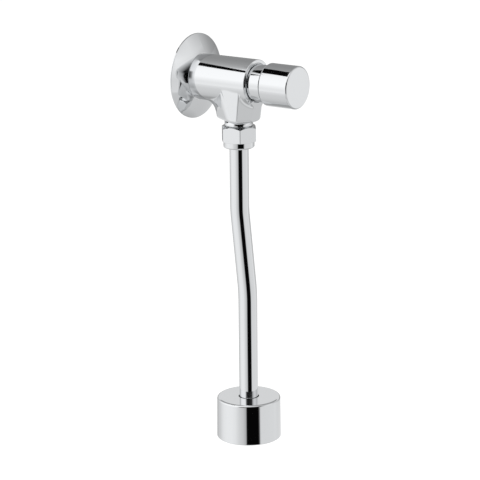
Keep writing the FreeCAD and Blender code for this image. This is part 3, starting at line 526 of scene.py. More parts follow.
def skin_point(turn, ray):
    """Where rays from the axis over the outlet leave the casting, found by halving.

    turn is the angle from the top round the valve's axis and ray the angle from the front. The
    result is the distance from the axis and from the wall.
    """
    shape = np.broadcast(turn, ray).shape
    low, high = np.zeros(shape), np.full(shape, RAY_REACH)
    out, along = np.sin(ray), np.cos(ray)
    for _ in range(HALVINGS):
        middle = (low + high) / 2
        radius = middle * out
        inside = casting(radius * np.sin(turn), OUTLET + middle * along, radius * np.cos(turn)) < 0
        low, high = np.where(inside, middle, low), np.where(inside, high, middle)
    return low * out, OUTLET + low * along


def casting_skin():
    """Skin from the groove at the front to the neck at the back, with rows spread by length and bend.

    Each row is then eased sideways, so that neighbouring columns don't part where an edge crosses them.
    """
    turn = full_turn(SKIN_COLUMNS)
    ray = np.linspace(*np.radians(RAY_ENDS), RAY_COUNT)[:, None]
    radius, place = skin_point(turn, ray)
    step_r, step_p = np.diff(radius, axis=0), np.diff(place, axis=0)
    heading = np.unwrap(np.arctan2(step_r, step_p), axis=0)
    bend = np.abs(np.diff(heading, axis=0, prepend=heading[:1]))
    weight = np.hypot(step_r, step_p) / ROW_LENGTH + bend / math.radians(ROW_BEND)
    rays = np.empty((SKIN_ROWS, SKIN_COLUMNS))
    for j in range(SKIN_COLUMNS):
        front = np.argmax(radius[:, j] > GROOVE_R)
        back = len(ray) - 1 - np.argmax(radius[::-1, j] > NECK_R)
        start = np.interp(GROOVE_R, radius[front - 1:front + 1, j], ray[front - 1:front + 1, 0])
        stop = np.interp(NECK_R, radius[back:back + 2, j][::-1], ray[back:back + 2, 0][::-1])
        length = np.concatenate([[0], np.cumsum(weight[:, j])])
        ends = np.interp([start, stop], ray[:, 0], length)
        rays[:, j] = np.interp(np.linspace(*ends, SKIN_ROWS), length, ray[:, 0])
    for _ in range(SKIN_EASING):
        rays[1:-1] += (np.roll(rays, 1, 1) + np.roll(rays, -1, 1) - 2 * rays)[1:-1] / 4
    return turn, *skin_point(turn, rays)


def casting_normals(x, place, z, step=0.004):
    """Normals as the slope of the distance, read a few micrometres to each side."""
    slope = [
        casting(x + step, place, z) - casting(x - step, place, z),
        casting(x, place - step, z) - casting(x, place + step, z),
        casting(x, place, z + step) - casting(x, place, z - step)]
    slope = np.stack(slope, -1)
    return slope / np.linalg.norm(slope, axis=-1, keepdims=True)


turn, skin_radius, skin_place = casting_skin()
skin_x, skin_z = skin_radius * np.sin(turn), skin_radius * np.cos(turn)
skin_normals = casting_normals(skin_x, skin_place, skin_z)
print("skin rows", skin_radius.shape, "deepest point", round(float(skin_z.min()), 2), "mm")

# %% [markdown]
# ## Threads and bores
# Behind the rosette the casting ends in the pipe thread that screws into the wall, and under the
# boss in the nipple that carries the union nut. A thread could be a helix swept along a spiral.
# On a grid it is simpler: the radius dips by a saw shape whose phase is the height in pitches plus
# the angle in turns, so the groove climbs one pitch each turn and closes on itself.

# %% Thread rows
THREAD_R = 10.48
THREAD_PITCH = 1.814
THREAD_DEEP = 1.05
THREAD_FLANK, THREAD_FADE = 1.35, 0.8
THREAD_ROWS = 8


def thread_dip(height, turn, start, stop):
    """How far the thread is cut in: a saw in height over pitch plus turn, fading out at both ends."""
    phase = (height / THREAD_PITCH + turn / (2 * math.pi)) % 1
    saw = np.clip(np.abs(2 * phase - 1) * THREAD_FLANK - (THREAD_FLANK - 1) / 2, 0, 1)
    saw = saw * saw * (3 - 2 * saw)
    fade = np.clip(np.minimum(height - start, stop - height) / THREAD_FADE, 0, 1)
    return THREAD_DEEP * saw * fade


def with_thread(outline, turn, start, stop):
    """Radius and height grids of an outline whose stretch at the thread's radius is cut as a thread."""
    radius, height = outline[:, 0, None] + 0 * turn, outline[:, 1, None] + 0 * turn
    cut = (np.abs(radius - THREAD_R) < 1e-6) & (height >= start) & (height <= stop)
    return np.where(cut, radius - thread_dip(height, turn, start, stop), radius), height


def thread_rows(start, stop):
    """Outline points along the thread, eight to a pitch."""
    return [(THREAD_R, height) for height in np.arange(start, stop, THREAD_PITCH / THREAD_ROWS)]


print("one pitch of thread has", len(thread_rows(0, THREAD_PITCH)), "rows")

# %% Body: skin, bores, inlet thread and nipple as one piece
INLET_END, INLET_BORE_R = -16.0, 7.0
STRAINER_SEAT, STRAINER_SEAT_R = -13.6, 8.3
THREAD_CHAMFER, THREAD_FOOT = 0.9, 0.5
THREAD_START = INLET_END + THREAD_CHAMFER
NECK_BACK, RELIEF_R = 1.7, 9.4
CHAMBER_BACK, CHAMBER_R = 5.5, 10.4
SEAT, SEAT_R = 24.0, 12.05
CAGE_BACK, CAGE_R = 33.0, 14.2
BORE_BACK, BORE_R = 46.5, 15.0
GROOVE_FLOOR = FRONT - 1.5

inner = rounded([
    (GROOVE_R, GROOVE_FLOOR, 0.2), (BORE_R, GROOVE_FLOOR, 0.1), (BORE_R, BORE_BACK, 0.3),
    (CAGE_R, BORE_BACK, 0.3), (CAGE_R, CAGE_BACK, 0.3), (SEAT_R, CAGE_BACK, 0.3), (SEAT_R, SEAT, 0.1),
    (CHAMBER_R, SEAT, 0.1), (CHAMBER_R, CHAMBER_BACK, 0.8), (INLET_BORE_R, CHAMBER_BACK, 0.5),
    (INLET_BORE_R, STRAINER_SEAT, 0.1), (STRAINER_SEAT_R, STRAINER_SEAT, 0.1),
    (STRAINER_SEAT_R, INLET_END, 0.2), (THREAD_R - THREAD_CHAMFER, INLET_END, 0.2),
    *thread_rows(THREAD_START, THREAD_FOOT), (THREAD_R, THREAD_FOOT, 0.1), (RELIEF_R, THREAD_FOOT, 0.1),
    (RELIEF_R, NECK_BACK, 0.3), (NECK_R, NECK_BACK, 0.4), (NECK_R, SHOULDER - 0.4)],
    closed=False, steps=HIDDEN_ARC_STEPS)
inner_radius, inner_place = with_thread(inner, turn, THREAD_START, THREAD_FOOT)
body_radius = np.concatenate([inner_radius, skin_radius[::-1]]) * MM
body_place = np.concatenate([inner_place, skin_place[::-1]]) * MM
body_points = round_valve_axis(body_radius, body_place, turn)
body_normals = grid_normals(body_points, True, True)
# On the skin the slope of the distance gives truer normals than the steps of the grid.
body_normals *= np.sign((body_normals[len(inner):] * skin_normals[::-1]).sum())
body_normals[len(inner) + 1:-1] = skin_normals[::-1][1:-1]

NIPPLE_ROOT, NIPPLE_BORE_R = 29.5, 6.2
NIPPLE_TOP, NIPPLE_END, NIPPLE_CHAMFER = 35.0, 46.0, 0.45
NIPPLE_THREAD = (NIPPLE_TOP + 0.2, NIPPLE_END - NIPPLE_CHAMFER)
OUTLET_NECK_R = 11.15
SOCKET_R, SOCKET_FLOOR = 7.58, 38.0
CONE_WIDTH, CONE_DEPTH = 1.7, 2.4
nipple = rounded([
    (NIPPLE_BORE_R, NIPPLE_ROOT), (OUTLET_NECK_R, NIPPLE_ROOT), (OUTLET_NECK_R, NIPPLE_TOP, 0.25),
    (THREAD_R, NIPPLE_TOP, 0.05), *thread_rows(*NIPPLE_THREAD),
    (THREAD_R - NIPPLE_CHAMFER, NIPPLE_END, 0.15), (SOCKET_R + CONE_WIDTH, NIPPLE_END, 0.15),
    (SOCKET_R, NIPPLE_END - CONE_DEPTH, 0.2), (SOCKET_R, SOCKET_FLOOR, 0.1),
    (NIPPLE_BORE_R, SOCKET_FLOOR, 0.2)], steps=HIDDEN_ARC_STEPS)
nipple_turn = turn[:, ::2]
nipple_radius, nipple_depth = with_thread(nipple, nipple_turn, *NIPPLE_THREAD)
nipple_points = round_vertical(nipple_radius, nipple_depth, nipple_turn, OUTLET) * MM
dress(solid_from_grids("body_casting", [
    (body_points, True, True, body_normals), (nipple_points, True, True)]),
    "valve_assembly", "chrome_plate", "valve_body")

# %% [markdown]
# ## Bonnet and button
# The bonnet is a turned brass cylinder screwed into the front of the body, with its polished collar
# left showing. The button slides over that collar, so a narrow dark groove and a narrow running gap
# are all that part them. The button's face is flat and bare, and only a small round at its edge
# catches the light.

# %% Bonnet
BONNET_BACK, BONNET_R = 47.0, 14.95
RING_GROOVE_R, RING_GROOVE_BACK, RING_GROOVE_FRONT = 13.45, 50.0, 52.0
COLLAR_R, COLLAR_BACK, COLLAR_FRONT = 14.6, 57.43, 74.0
CYLINDER_R, CYLINDER_FRONT = 11.0, 70.6
ROD_HOLE_R, GLAND_R, GLAND_FLOOR = 3.3, 5.5, 71.6
dress(turned("bonnet_collar", [
    (CYLINDER_R, BONNET_BACK, 0.2), (BONNET_R, BONNET_BACK, 0.3), (BONNET_R, RING_GROOVE_BACK, 0.1),
    (RING_GROOVE_R, RING_GROOVE_BACK, 0.1), (RING_GROOVE_R, RING_GROOVE_FRONT, 0.1),
    (BONNET_R, RING_GROOVE_FRONT, 0.1), (BONNET_R, COLLAR_BACK, 0.1), (COLLAR_R, COLLAR_BACK, 0.05),
    (COLLAR_R, COLLAR_FRONT, 0.5), (GLAND_R, COLLAR_FRONT, 0.2), (GLAND_R, GLAND_FLOOR, 0.1),
    (ROD_HOLE_R, GLAND_FLOOR, 0.1), (ROD_HOLE_R, CYLINDER_FRONT, 0.1),
    (CYLINDER_R, CYLINDER_FRONT, 0.3)]), "valve_assembly", "chrome_plate", "bonnet")

# %% Button
BUTTON_R, BUTTON_BACK, BUTTON_FRONT = 16.72, 70.5, 97.32
BUTTON_CHAMFER, BUTTON_CHAMFER_LENGTH, BUTTON_EDGE = 1.0, 1.5, 1.3
CAP_BORE_R, CAP_FLOOR = 15.2, 94.82
dress(turned("push_button_cap", [
    (CAP_BORE_R, BUTTON_BACK, 0.15), (BUTTON_R - BUTTON_CHAMFER, BUTTON_BACK, 0.2),
    (BUTTON_R, BUTTON_BACK + BUTTON_CHAMFER_LENGTH, 0.5), (BUTTON_R, BUTTON_FRONT, BUTTON_EDGE),
    (0, BUTTON_FRONT), (0, CAP_FLOOR), (CAP_BORE_R, CAP_FLOOR, 0.5)]),
    "push_button", "chrome_plate", "button_cap")

# %% [markdown]
# ## The return spring
# A wound wire between the cage's web and the piston, which brings the button back and shortens as
# the button goes in. It could be a curve with a bevel. Here the wire is a grid of points, a circle
# carried along the winding, and the piece gets a mesh of its own.

# %% Spring
SPRING_R, SPRING_WIRE_R = 8.0, 0.55
SPRING_TURNS, SPRING_END_PITCH = 7, 1.6
SPRING_SIDES, SPRING_STEPS = 14, 40
spring_low, spring_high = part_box("return_spring")
spring_length = spring_high[1] - spring_low[1]


def spring_rise(turns):
    """Height after some turns: the end pitch, and a swell that grows to mid length as a sine squared."""
    height = spring_length / MM - 2 * SPRING_WIRE_R
    swell = 2 * (height / SPRING_TURNS - SPRING_END_PITCH)
    wave = SPRING_TURNS / (4 * math.pi) * np.sin(2 * math.pi * turns / SPRING_TURNS)
    return SPRING_END_PITCH * turns + swell * (turns / 2 - wave)


def return_spring():
    """Radius R + r cos(side), place rise + r sin(side), with r falling to nothing at both cut ends."""
    turns = np.linspace(0, SPRING_TURNS, SPRING_TURNS * SPRING_STEPS + 1)
    turns = np.r_[0, turns, SPRING_TURNS][:, None]
    wire = np.where(np.arange(len(turns)) % (len(turns) - 1) == 0, 0, SPRING_WIRE_R)[:, None]
    side = full_turn(SPRING_SIDES)
    radius = SPRING_R + wire * np.cos(side)
    place = -spring_high[1] / MM + SPRING_WIRE_R + spring_rise(turns) + wire * np.sin(side)
    angle = 2 * math.pi * turns
    points = np.stack([radius * np.cos(angle), -place, radius * np.sin(angle)], -1) * MM
    return solid_from_grids("return_spring_wire", [(points, False, True)])


spring = dress(return_spring(), "valve_assembly", "stainless_steel", "return_spring")
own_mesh(spring)

# %% [markdown]
# ## The union nut
# A hexagon bar turned at both ends: the lathe cuts a cone over the corners, which leaves the curved
# edges that every nut has. A six-sided cylinder with a bevel has no such curves. Here the radius at
# each angle and height is the smaller one of the hexagon and that cone, with a small soft step
# between them, because a plated edge is never sharp.

# %% Nut
NUT_FLATS, NUT_TURN, NUT_COLUMNS = 26.0, math.radians(38.7), 540
NUT_TOP, NUT_HEX_END, NUT_END = 35.5, 48.0, 53.0
NUT_R, CONE_R, CONE_STEP = 15.21, 15.2, 0.1
TOP_CONE_R, TOP_CONE, TOP_CONE_WIDTH = 12.48, 1.82, 2.73
FOOT_CONE, FOOT_CONE_WIDTH = 0.78, 2.2
NUT_COLLAR_R, NUT_COLLAR_EDGE = 12.2, 1.2
NUT_MOUTH_R, NUT_THREAD_R, NUT_HOLE_R, NUT_SHELF = 11.1, 10.56, 7.8, 49.0
NUT_CORNER_WEAR, NUT_EDGE = 0.1, 0.12


def softer_of(a, b, softness):
    """The smaller of two radii, with a smooth step of about the softness where they meet."""
    return (a + b - np.sqrt((a - b) ** 2 + softness ** 2)) / 2


def nut_outline():
    """Corners down the outside of the nut, over both cones, and back up its bore."""
    top = [(radius, NUT_TOP + (radius - TOP_CONE_R) * TOP_CONE / TOP_CONE_WIDTH)
           for radius in np.arange(TOP_CONE_R, CONE_R, CONE_STEP)]
    foot = [(CONE_R - step, NUT_HEX_END - FOOT_CONE + step * FOOT_CONE / FOOT_CONE_WIDTH)
            for step in np.arange(0, FOOT_CONE_WIDTH, CONE_STEP)]
    return rounded([
        (NUT_MOUTH_R, NUT_TOP, 0.2), *top, (NUT_R, NUT_TOP + TOP_CONE), (NUT_R, NUT_TOP + 4),
        (NUT_R, NUT_HEX_END - 4), (NUT_R, NUT_HEX_END - FOOT_CONE), *foot, (NUT_FLATS / 2, NUT_HEX_END),
        (NUT_COLLAR_R + 0.1, NUT_HEX_END), (NUT_COLLAR_R, NUT_HEX_END + 0.1),
        (NUT_COLLAR_R, NUT_END, NUT_COLLAR_EDGE), (NUT_HOLE_R, NUT_END, 0.3),
        (NUT_HOLE_R, NUT_SHELF, 0.1), (NUT_THREAD_R, NUT_SHELF, 0.2), (NUT_THREAD_R, NUT_TOP + 0.5, 0.1)])


def union_nut():
    """The outline's radius, or half the flats over the cosine of the angle from a flat if smaller."""
    turn = full_turn(NUT_COLUMNS)
    side = (turn - NUT_TURN + math.pi / 6) % (math.pi / 3) - math.pi / 6
    flats = NUT_FLATS / 2 / np.cos(math.pi / 6 - np.abs(side))
    hexagon = softer_of(flats, NUT_FLATS / math.sqrt(3) - NUT_CORNER_WEAR, 2 * NUT_CORNER_WEAR)
    outline = nut_outline()
    radius, depth = outline[:, 0, None] + 0 * turn, outline[:, 1, None] + 0 * turn
    outer = (radius > NUT_COLLAR_R + 0.2) & (depth < NUT_HEX_END + 1e-6)
    radius = np.where(outer, softer_of(radius, hexagon + 0 * radius, NUT_EDGE), radius)
    points = round_vertical(radius, depth, turn, OUTLET) * MM
    return solid_from_grids("union_nut_hexagon", [(points, True, True)])


dress(union_nut(), "nut", "chrome_plate", "union_nut")

# %% [markdown]
# ## The flush pipe
# A 15 mm brass tube bent twice so that its foot stands a little further from the wall. A curve with
# a bevel would be open at its ends and have no wall. So its centre line is worked out as straight
# runs and arcs, and the wall is carried along it: down the outside, round the cut end and back up.

# %% Pipe
PIPE_R, PIPE_WALL = 7.5, 1.0
PIPE_CUT, PIPE_CUT_SHOULDER, PIPE_COLUMNS = 0.25, 0.07, 128
PIPE_SET = 7.03
PIPE_TOP, UPPER_BEND, LOWER_BEND, PIPE_END = 38.3, 104.0, 170.3, 287.0
UPPER_BEND_R, LOWER_BEND_R = 100.0, 150.0


def pipe_line():
    """Points (out, depth) and headings of the centre line.

    The slant's heading is the arc tangent of the set over the depth between the bends, and an arc
    starts before its bend by its radius times the tangent of half that heading.
    """
    lean = math.atan2(PIPE_SET, LOWER_BEND - UPPER_BEND)
    top = UPPER_BEND_R * math.tan(lean / 2)
    foot = LOWER_BEND_R * math.tan(lean / 2)
    turn = np.linspace(0, lean, 24)
    bend = np.stack([1 - np.cos(turn), np.sin(turn)], -1)
    first = [0, UPPER_BEND - top] + UPPER_BEND_R * bend
    second = [PIPE_SET, LOWER_BEND + foot] - LOWER_BEND_R * bend[::-1]
    start = np.stack([0 * turn[:8], np.linspace(PIPE_TOP, UPPER_BEND - top, 9)[:8]], -1)
    between = first[-1] + (second[0] - first[-1]) * np.linspace(0, 1, 8)[1:-1, None]
    end = np.stack([0 * turn[:12] + PIPE_SET, np.linspace(LOWER_BEND + foot, PIPE_END, 13)[1:]], -1)
    heading = [0 * turn[:8], turn, 0 * turn[:6] + lean, turn[::-1], 0 * turn[:12]]
    return np.concatenate([start, first, between, second, end]), np.concatenate(heading)


def flush_pipe():
    """Along a heading, the line's point plus the radius across it and a shift at the rounded cut ends."""
    line, heading = pipe_line()
    cut = np.array([PIPE_R - PIPE_CUT, PIPE_R - PIPE_CUT_SHOULDER])
    outside = np.concatenate([cut, np.full(len(line) - 2, PIPE_R), cut[::-1]])
    order = np.r_[0, 0:len(line), len(line) - 1]
    stations = np.r_[order, order[::-1]]
    radius = np.r_[outside, np.full(len(order), PIPE_R - PIPE_WALL)][:, None]
    shift = np.r_[0.0, PIPE_CUT, np.zeros(len(line) - 2), -PIPE_CUT, np.zeros(len(order) + 1)][:, None]
    turn = full_turn(PIPE_COLUMNS)
    lean = heading[stations][:, None]
    across = radius * np.sin(turn)
    place = OUTLET + line[stations, 0][:, None] + across * np.cos(lean) + shift * np.sin(lean)
    depth = line[stations, 1][:, None] - across * np.sin(lean) + shift * np.cos(lean)
    points = np.stack([radius * np.cos(turn), -place, -depth], -1) * MM
    return solid_from_grids("chromed_flush_pipe", [(points, True, True)])


dress(flush_pipe(), "flush_pipe", "chrome_plate", "flush_tube")

# %% [markdown]
# ## The cup over the spud
# A drawn cup with a thicker hub round the pipe. It slides down over the joint with the ceramic, so
# it is open below, and its top edge has a soft round that draws a bright line across the chrome.

# %% Cup
CUP_TOP, CUP_RIM = 258.2, 291.6
CUP_TOP_R, CUP_RIM_R, CUP_WALL = 25.5, 25.9, 1.2
CUP_HOLE_R, HUB_R, HUB_DEPTH = 8.2, 12.0, 4.0
GRIP_R, GRIP_TOP, GRIP_FOOT = 9.45, CUP_TOP + 1.08, CUP_TOP + 2.92
dress(turned("spud_cup", [
    (CUP_HOLE_R, CUP_TOP, 0.25), (CUP_TOP_R, CUP_TOP, 1.8), (CUP_RIM_R, CUP_RIM, 0.4),
    (CUP_RIM_R - CUP_WALL, CUP_RIM, 0.3), (CUP_TOP_R - CUP_WALL, CUP_TOP + CUP_WALL, 0.9),
    (HUB_R, CUP_TOP + CUP_WALL, 0.4), (HUB_R, CUP_TOP + HUB_DEPTH, 0.3),
    (CUP_HOLE_R, CUP_TOP + HUB_DEPTH, 0.2), (CUP_HOLE_R, GRIP_FOOT, 0.1), (GRIP_R, GRIP_FOOT, 0.1),
    (GRIP_R, GRIP_TOP, 0.1), (CUP_HOLE_R, GRIP_TOP, 0.1)],
    place=(OUTLET + PIPE_SET) * MM, columns=FINE_COLUMNS), "spud_cover", "chrome_plate", "cup_cover")

# %% [markdown]
# ## The studio
# Polished chrome shows only the room around it, so the room is the real finish. The photographer's
# set is white walls, a dark ceiling behind the object and black cards that draw thin dark lines
# into the metal. The room could be built from big glowing planes. Here the sky itself carries it,
# as tones by compass direction, and only the cards near the object are planes, because their lines
# shift along the metal. The camera still sees plain white.

# %% The room as tones by direction
# A tone is what the chrome shows there, from 0 to 255, by compass angle in degrees from +X to +Y.
# Each belt holds the tones at one height over the horizon, and heights between are blended.
DARK = 6
BELTS = [
    (-72, [(-180, 160), (-150, 196), (-100, 208), (-60, 178), (-20, 155), (40, 140), (75, 152),
        (120, 160), (180, 160)]),
    (-55, [(-180, 194), (-140, 214), (-90, 214), (-60, 180), (-10, 160), (40, 140), (68, 153),
        (90, 188), (120, 195), (180, 194)]),
    (-45, [(-180, 172), (-150, 190), (-110, 180), (-60, 166), (0, 140), (20, 158), (45, 150), (65, 155),
        (85, 192), (105, 205), (130, 202), (160, 194), (180, 172)]),
    (-35, [(-180, 186), (-150, 192), (-110, 184), (-60, 193), (-20, 188), (0, 190), (60, 176),
        (85, 200), (105, 209), (140, 206), (165, 196), (180, 186)]),
    (-23, [(-180, 202), (-140, 194), (-60, 193), (0, 194), (30, 226), (60, 214), (85, 202), (110, 215),
        (130, 222), (150, 222), (165, 215), (180, 202)]),
    (-21, [(-180, 208), (-166, 196), (-157, 172), (-155, 150), (-153, DARK), (-107, DARK), (-104, 196),
        (-100, 212), (-26, 213), (0, 215), (14, 222), (34, 200), (48, 150), (62, 185), (75, 196),
        (87, 200), (100, 216), (113, 226), (130, 231), (150, 231), (165, 224), (180, 208)]),
    (-9, [(-180, 204), (-166, 192), (-157, 165), (-155, 140), (-153, DARK), (-111, DARK), (-108, 180),
        (-102, 205), (-46, 214), (-39, 225), (-32, 224), (-25, 202), (0, 150), (14, 128), (48, 112),
        (62, 165), (74, 198), (87, 218), (113, 233), (130, 233), (144, 228), (158, 229), (165, 228),
        (180, 204)]),
    (3, [(-180, 150), (-175, 90), (-168, 20), (-153, DARK), (-111, DARK), (-108, 160), (-100, 208),
        (-80, 228), (-55, 216), (-40, 188), (-20, 164), (0, 140), (10, 134), (60, 138), (100, 235),
        (120, 245), (132, 246), (145, 241), (158, 244), (165, 244), (174, 225), (180, 150)]),
    (10, [(-180, 150), (-175, 90), (-168, 20), (-152, DARK), (-107, DARK), (-104, 130), (-98, 180),
        (-80, 232), (-55, 220), (-32, 196), (-24, 200), (0, 205), (66, 205), (78, 180), (100, 238),
        (120, 248), (145, 250), (165, 246), (174, 230), (180, 150)]),
    (26, [(-180, 160), (-174, 110), (-166, 50), (-151, 30), (-104, 60), (-99, 115), (-92, 165),
        (-75, 204), (-55, 214), (-32, 180), (-24, 205), (0, 210), (66, 210), (78, 160), (100, 220),
        (115, 246), (145, 250), (165, 246), (174, 232), (180, 160)]),
    (34, [(-180, 243), (-157, 235), (-150, 60), (-100, 70), (-92, 120), (-80, 190), (-55, 205),
        (-30, 150), (10, 126), (42, 134), (60, 138), (90, 170), (110, 240), (132, 249), (160, 248),
        (180, 243)]),
    (50, [(-180, 240), (-150, 224), (-100, 205), (-60, 175), (-20, 150), (40, 136), (70, 146),
        (89, 157), (104, 170), (112, 186), (118, 232), (125, 243), (150, 248), (180, 240)]),
]
METAL = 0.81
COOL_SHADE = (0.995, 1, 1.004)


def light_for(tone):
    """Light that chrome turns into that tone: the tone's linear value over what the metal reflects."""
    value = tone / 255
    linear = value / 12.92 if value <= 0.04045 else ((value + 0.055) / 1.055) ** 2.4
    return linear / METAL


def tone_ring(nodes, links, turn, stops, top):
    """A ramp round the compass; its colours are shares of the top light, restored after it."""
    ramp = nodes.new("ShaderNodeValToRGB")
    elements = ramp.color_ramp.elements
    elements[0].position, elements[1].position = 0.0, 1.0
    for angle, _ in stops[1:-1]:
        elements.new((angle + 180) / 360)
    for element, (_, tone) in zip(elements, stops):
        element.color = (*(light_for(tone) / top * shade for shade in COOL_SHADE), 1)
    links.new(turn, ramp.inputs["Fac"])
    return ramp.outputs["Color"]


print("white paper in this chrome needs light", round(light_for(249), 3))

# %% Sky: room for the metal, plain white for the camera and for soft light
TOP_LIGHT = light_for(255)


def math_node(nodes, links, operation, *values):
    """One step of arithmetic in a node tree; the values are sockets or numbers."""
    node = nodes.new("ShaderNodeMath")
    node.operation = operation
    for socket, value in zip(node.inputs, values):
        if isinstance(value, (int, float)):
            socket.default_value = value
        else:
            links.new(value, socket)
    return node.outputs[0]


def mixed(nodes, links, factor, a, b):
    """A colour between two colours by a factor."""
    node = nodes.new("ShaderNodeMix")
    node.data_type = "RGBA"
    links.new(factor, node.inputs[0])
    links.new(a, node.inputs[6])
    links.new(b, node.inputs[7])
    return node.outputs[2]


def compass(nodes, links, output):
    """Share of the compass circle, half a turn plus the arc tangent of Y over X, and the height Z."""
    coordinates, split = nodes.new("ShaderNodeTexCoord"), nodes.new("ShaderNodeSeparateXYZ")
    links.new(coordinates.outputs[output], split.inputs["Vector"])
    angle = math_node(nodes, links, "ARCTAN2", split.outputs["Y"], split.outputs["X"])
    return math_node(nodes, links, "MULTIPLY_ADD", angle, 1 / (2 * math.pi), 0.5), split.outputs["Z"]


def studio_sky():
    """World whose tones run round the compass in belts, blended by the height's sine."""
    world = bpy.data.worlds.new("studio_room")
    bpy.context.scene.world = world
    world.use_nodes = True
    nodes, links = world.node_tree.nodes, world.node_tree.links
    turn, height = compass(nodes, links, "Generated")
    room = tone_ring(nodes, links, turn, BELTS[0][1], TOP_LIGHT)
    for (low, _), (high, stops) in zip(BELTS, BELTS[1:]):
        ends = (math.sin(math.radians(angle)) for angle in (low, high))
        climb = ranged(nodes, links, height, 0, 1, *ends)
        room = mixed(nodes, links, climb, room, tone_ring(nodes, links, turn, stops, TOP_LIGHT))
    metal_sees = nodes.new("ShaderNodeBackground")
    metal_sees.inputs["Strength"].default_value = TOP_LIGHT
    links.new(room, metal_sees.inputs["Color"])
    plain = nodes.new("ShaderNodeBackground")
    plain.inputs["Color"].default_value = (1, 1, 1, 1)
    plain.inputs["Strength"].default_value = 1.0
    path = nodes.new("ShaderNodeLightPath")
    choice = nodes.new("ShaderNodeMixShader")
    links.new(path.outputs["Is Glossy Ray"], choice.inputs[0])
    links.new(plain.outputs[0], choice.inputs[1])
    links.new(metal_sees.outputs[0], choice.inputs[2])
    links.new(choice.outputs[0], nodes["World Output"].inputs["Surface"])


studio_sky()
print("sky belts at", [height for height, _ in BELTS], "degrees")

# %% [markdown]
# ## The cards overhead
# Two black cards hang near enough that their place matters. One draws the thin black line along the
# barrel, the other the thicker band on the button. They could be dark belts of the sky, but then
# their lines would stop where the metal turns. Each edge is bent a little, so that its line follows
# the round at the end of the barrel or of the button.

# %% Cards
CARD_HEIGHT = 1.0
BARREL_CARD = [
    (-0.53, 0.675), (-0.27, 0.678), (-0.20, 0.684), (-0.13, 0.692), (-0.09, 0.705), (-0.09, 0.763),
    (-0.715, 0.763)]
BUTTON_CARD = [
    (0.205, 0.603), (0.184, 0.595), (0.16, 0.579), (0.093, 0.557), (0.06, 0.53), (-0.50, 0.53),
    (-0.47, 0.606), (-0.45, 0.612), (-0.396, 0.6155), (-0.37, 0.629), (-0.227, 0.621), (0.045, 0.607)]


def reflected_paper(name, points, faces):
    """A glowing mesh that only reflections see: it blocks and lights nothing else."""
    piece = placed_mesh(name, points, faces)
    piece.visible_camera = piece.visible_diffuse = False
    piece.visible_shadow = piece.visible_transmission = False
    material = bpy.data.materials.new(name)
    material.use_nodes = True
    nodes, links = material.node_tree.nodes, material.node_tree.links
    glow = nodes.new("ShaderNodeEmission")
    links.new(glow.outputs[0], nodes["Material Output"].inputs["Surface"])
    piece.data.materials.append(material)
    return piece, nodes, links, glow


def black_card(name, corners):
    """A flat card overhead, from its corners seen from above."""
    points = [(x, y, CARD_HEIGHT) for x, y in corners]
    _, _, _, glow = reflected_paper(name, points, [list(range(len(points)))])
    glow.inputs["Color"].default_value = (1, 1, 1, 1)
    glow.inputs["Strength"].default_value = light_for(DARK)


black_card("overhead_card_body", BARREL_CARD)
black_card("overhead_card_button", BUTTON_CARD)
print("black cards at", CARD_HEIGHT, "m")

# %% [markdown]
# ## The graded paper behind
# The top of the barrel and of the button show a grey that changes along their length. A sky can't do
# that, because a straight barrel sees nearly one direction all along. A paper bent round the object
# at half a metre can: its tone changes with the compass angle, and each place on the barrel sees
# another part of it.

# %% Graded paper
GRADED_DISTANCE = 0.5
GRADED_ENDS, GRADED_SIDES = (-28, 72), 33
GRADED_HEIGHTS = (0.02, 0.45)
GRADED_CENTRE = (0, -0.04, 0)
GRADED_TONES = [
    (-180, 186), (-28, 186), (-12, 156), (10, 130), (30, 134), (60, 139), (72, 156), (180, 156)]


def graded_paper():
    """A strip round the object, whose tone is read by compass angle from the object."""
    angle = np.radians(np.linspace(*GRADED_ENDS, GRADED_SIDES))
    ring = np.stack([GRADED_DISTANCE * np.cos(angle), GRADED_DISTANCE * np.sin(angle)], -1)
    points = np.concatenate([np.column_stack([ring, np.full(len(ring), z)]) for z in GRADED_HEIGHTS])
    faces = grid_faces(len(GRADED_HEIGHTS), len(ring), False, False)
    piece, nodes, links, glow = reflected_paper("graded_card", points.tolist(), faces.tolist())
    piece.location = GRADED_CENTRE
    turn, _ = compass(nodes, links, "Object")
    glow.inputs["Strength"].default_value = TOP_LIGHT
    links.new(tone_ring(nodes, links, turn, GRADED_TONES, TOP_LIGHT), glow.inputs["Color"])


graded_paper()
print("graded paper from", GRADED_ENDS[0], "to", GRADED_ENDS[1], "degrees")

# %% [markdown]
# ## Floor and soft light
# The floor is a plain pale sheet well under the cup. It takes the object's soft shadow, but the
# metal doesn't see it, because the sky's lower belt already stands for it. One large soft lamp
# gives plastic and rubber some shape when they show.

# %% Floor and lamp
FLOOR_DROP, FLOOR_REACH = 0.12, 6
FLOOR_WHITE, FLOOR_ROUGHNESS, FLOOR_LIFT = (0.92, 0.92, 0.92), 0.9, 0.12
LAMP_PLACE, LAMP_AIM = (-0.7, -0.6, 1.1), (0.7, 0.6, -1.2)
LAMP_SIZE, LAMP_POWER = 1.2, 4.0

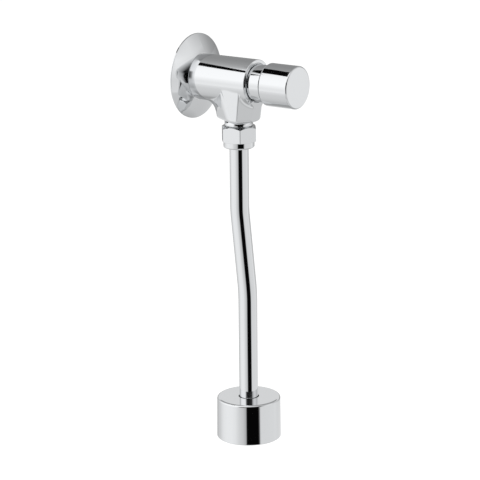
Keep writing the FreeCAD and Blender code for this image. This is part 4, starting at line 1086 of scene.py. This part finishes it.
floor_z = cad_low.z - FLOOR_DROP
floor_corners = [
    (x * FLOOR_REACH, y * FLOOR_REACH, floor_z) for x, y in ((-1, -1), (1, -1), (1, 1), (-1, 1))]
floor = placed_mesh("floor", floor_corners, [(0, 1, 2, 3)])
floor.visible_glossy = False
floor_material, floor_nodes, floor_links, floor_shader = new_material(
    "pale_floor", FLOOR_WHITE, 0.0, FLOOR_ROUGHNESS)
floor_shader.inputs["Specular IOR Level"].default_value = 0.0
floor_shader.inputs["Emission Color"].default_value = (1, 1, 1, 1)
seen = floor_nodes.new("ShaderNodeLightPath").outputs["Is Camera Ray"]
floor_lift = math_node(floor_nodes, floor_links, "MULTIPLY", seen, FLOOR_LIFT)
floor_links.new(floor_lift, floor_shader.inputs["Emission Strength"])
floor.data.materials.append(floor_material)

lamp = placed("soft_lamp", bpy.data.lights.new("soft_lamp", "AREA"))
lamp.data.shape = "SQUARE"
lamp.data.size = LAMP_SIZE
lamp.data.energy = LAMP_POWER
lamp.location = LAMP_PLACE
lamp.rotation_mode = "QUATERNION"
lamp.rotation_quaternion = Vector(LAMP_AIM).to_track_quat("-Z", "Y")
lamp.visible_glossy = False
print("floor at", round(floor_z, 3), "m")

# %% [markdown]
# ## The camera
# The photograph was taken with a long lens from the left and a little above. The angles, the
# distance and the lens were fitted to the circles and edges that the picture shows, so they are
# given as such and turned into a place and three axes here.

# %% Camera
CAMERA_AZIMUTH = math.radians(-54.785)
CAMERA_ELEVATION = math.radians(15.211)
CAMERA_ROLL = math.radians(-0.614)
CAMERA_DISTANCE = 1.66672
CAMERA_TARGET = Vector((-0.0041, -0.0442, -0.1274))
PHOTO_WIDTH_PX = 480
FOCAL_PX = 2102.0

back = Vector((
    math.sin(CAMERA_AZIMUTH) * math.cos(CAMERA_ELEVATION),
    -math.cos(CAMERA_AZIMUTH) * math.cos(CAMERA_ELEVATION), math.sin(CAMERA_ELEVATION)))
level_right = Vector((math.cos(CAMERA_AZIMUTH), math.sin(CAMERA_AZIMUTH), 0))
level_up = back.cross(level_right)
right = level_right * math.cos(CAMERA_ROLL) + level_up * math.sin(CAMERA_ROLL)
up = level_up * math.cos(CAMERA_ROLL) - level_right * math.sin(CAMERA_ROLL)
camera = placed("camera", bpy.data.cameras.new("camera"))
camera.data.sensor_width = 36.0
camera.data.lens = FOCAL_PX / PHOTO_WIDTH_PX * camera.data.sensor_width
camera.data.clip_end = 30.0
axes = Matrix((right, up, back)).transposed().to_4x4()
camera.matrix_world = Matrix.Translation(CAMERA_TARGET + back * CAMERA_DISTANCE) @ axes
bpy.context.scene.camera = camera
bpy.context.scene.view_settings.view_transform = "Standard"
print("lens", round(camera.data.lens, 1), "mm at", [round(c, 3) for c in camera.location])
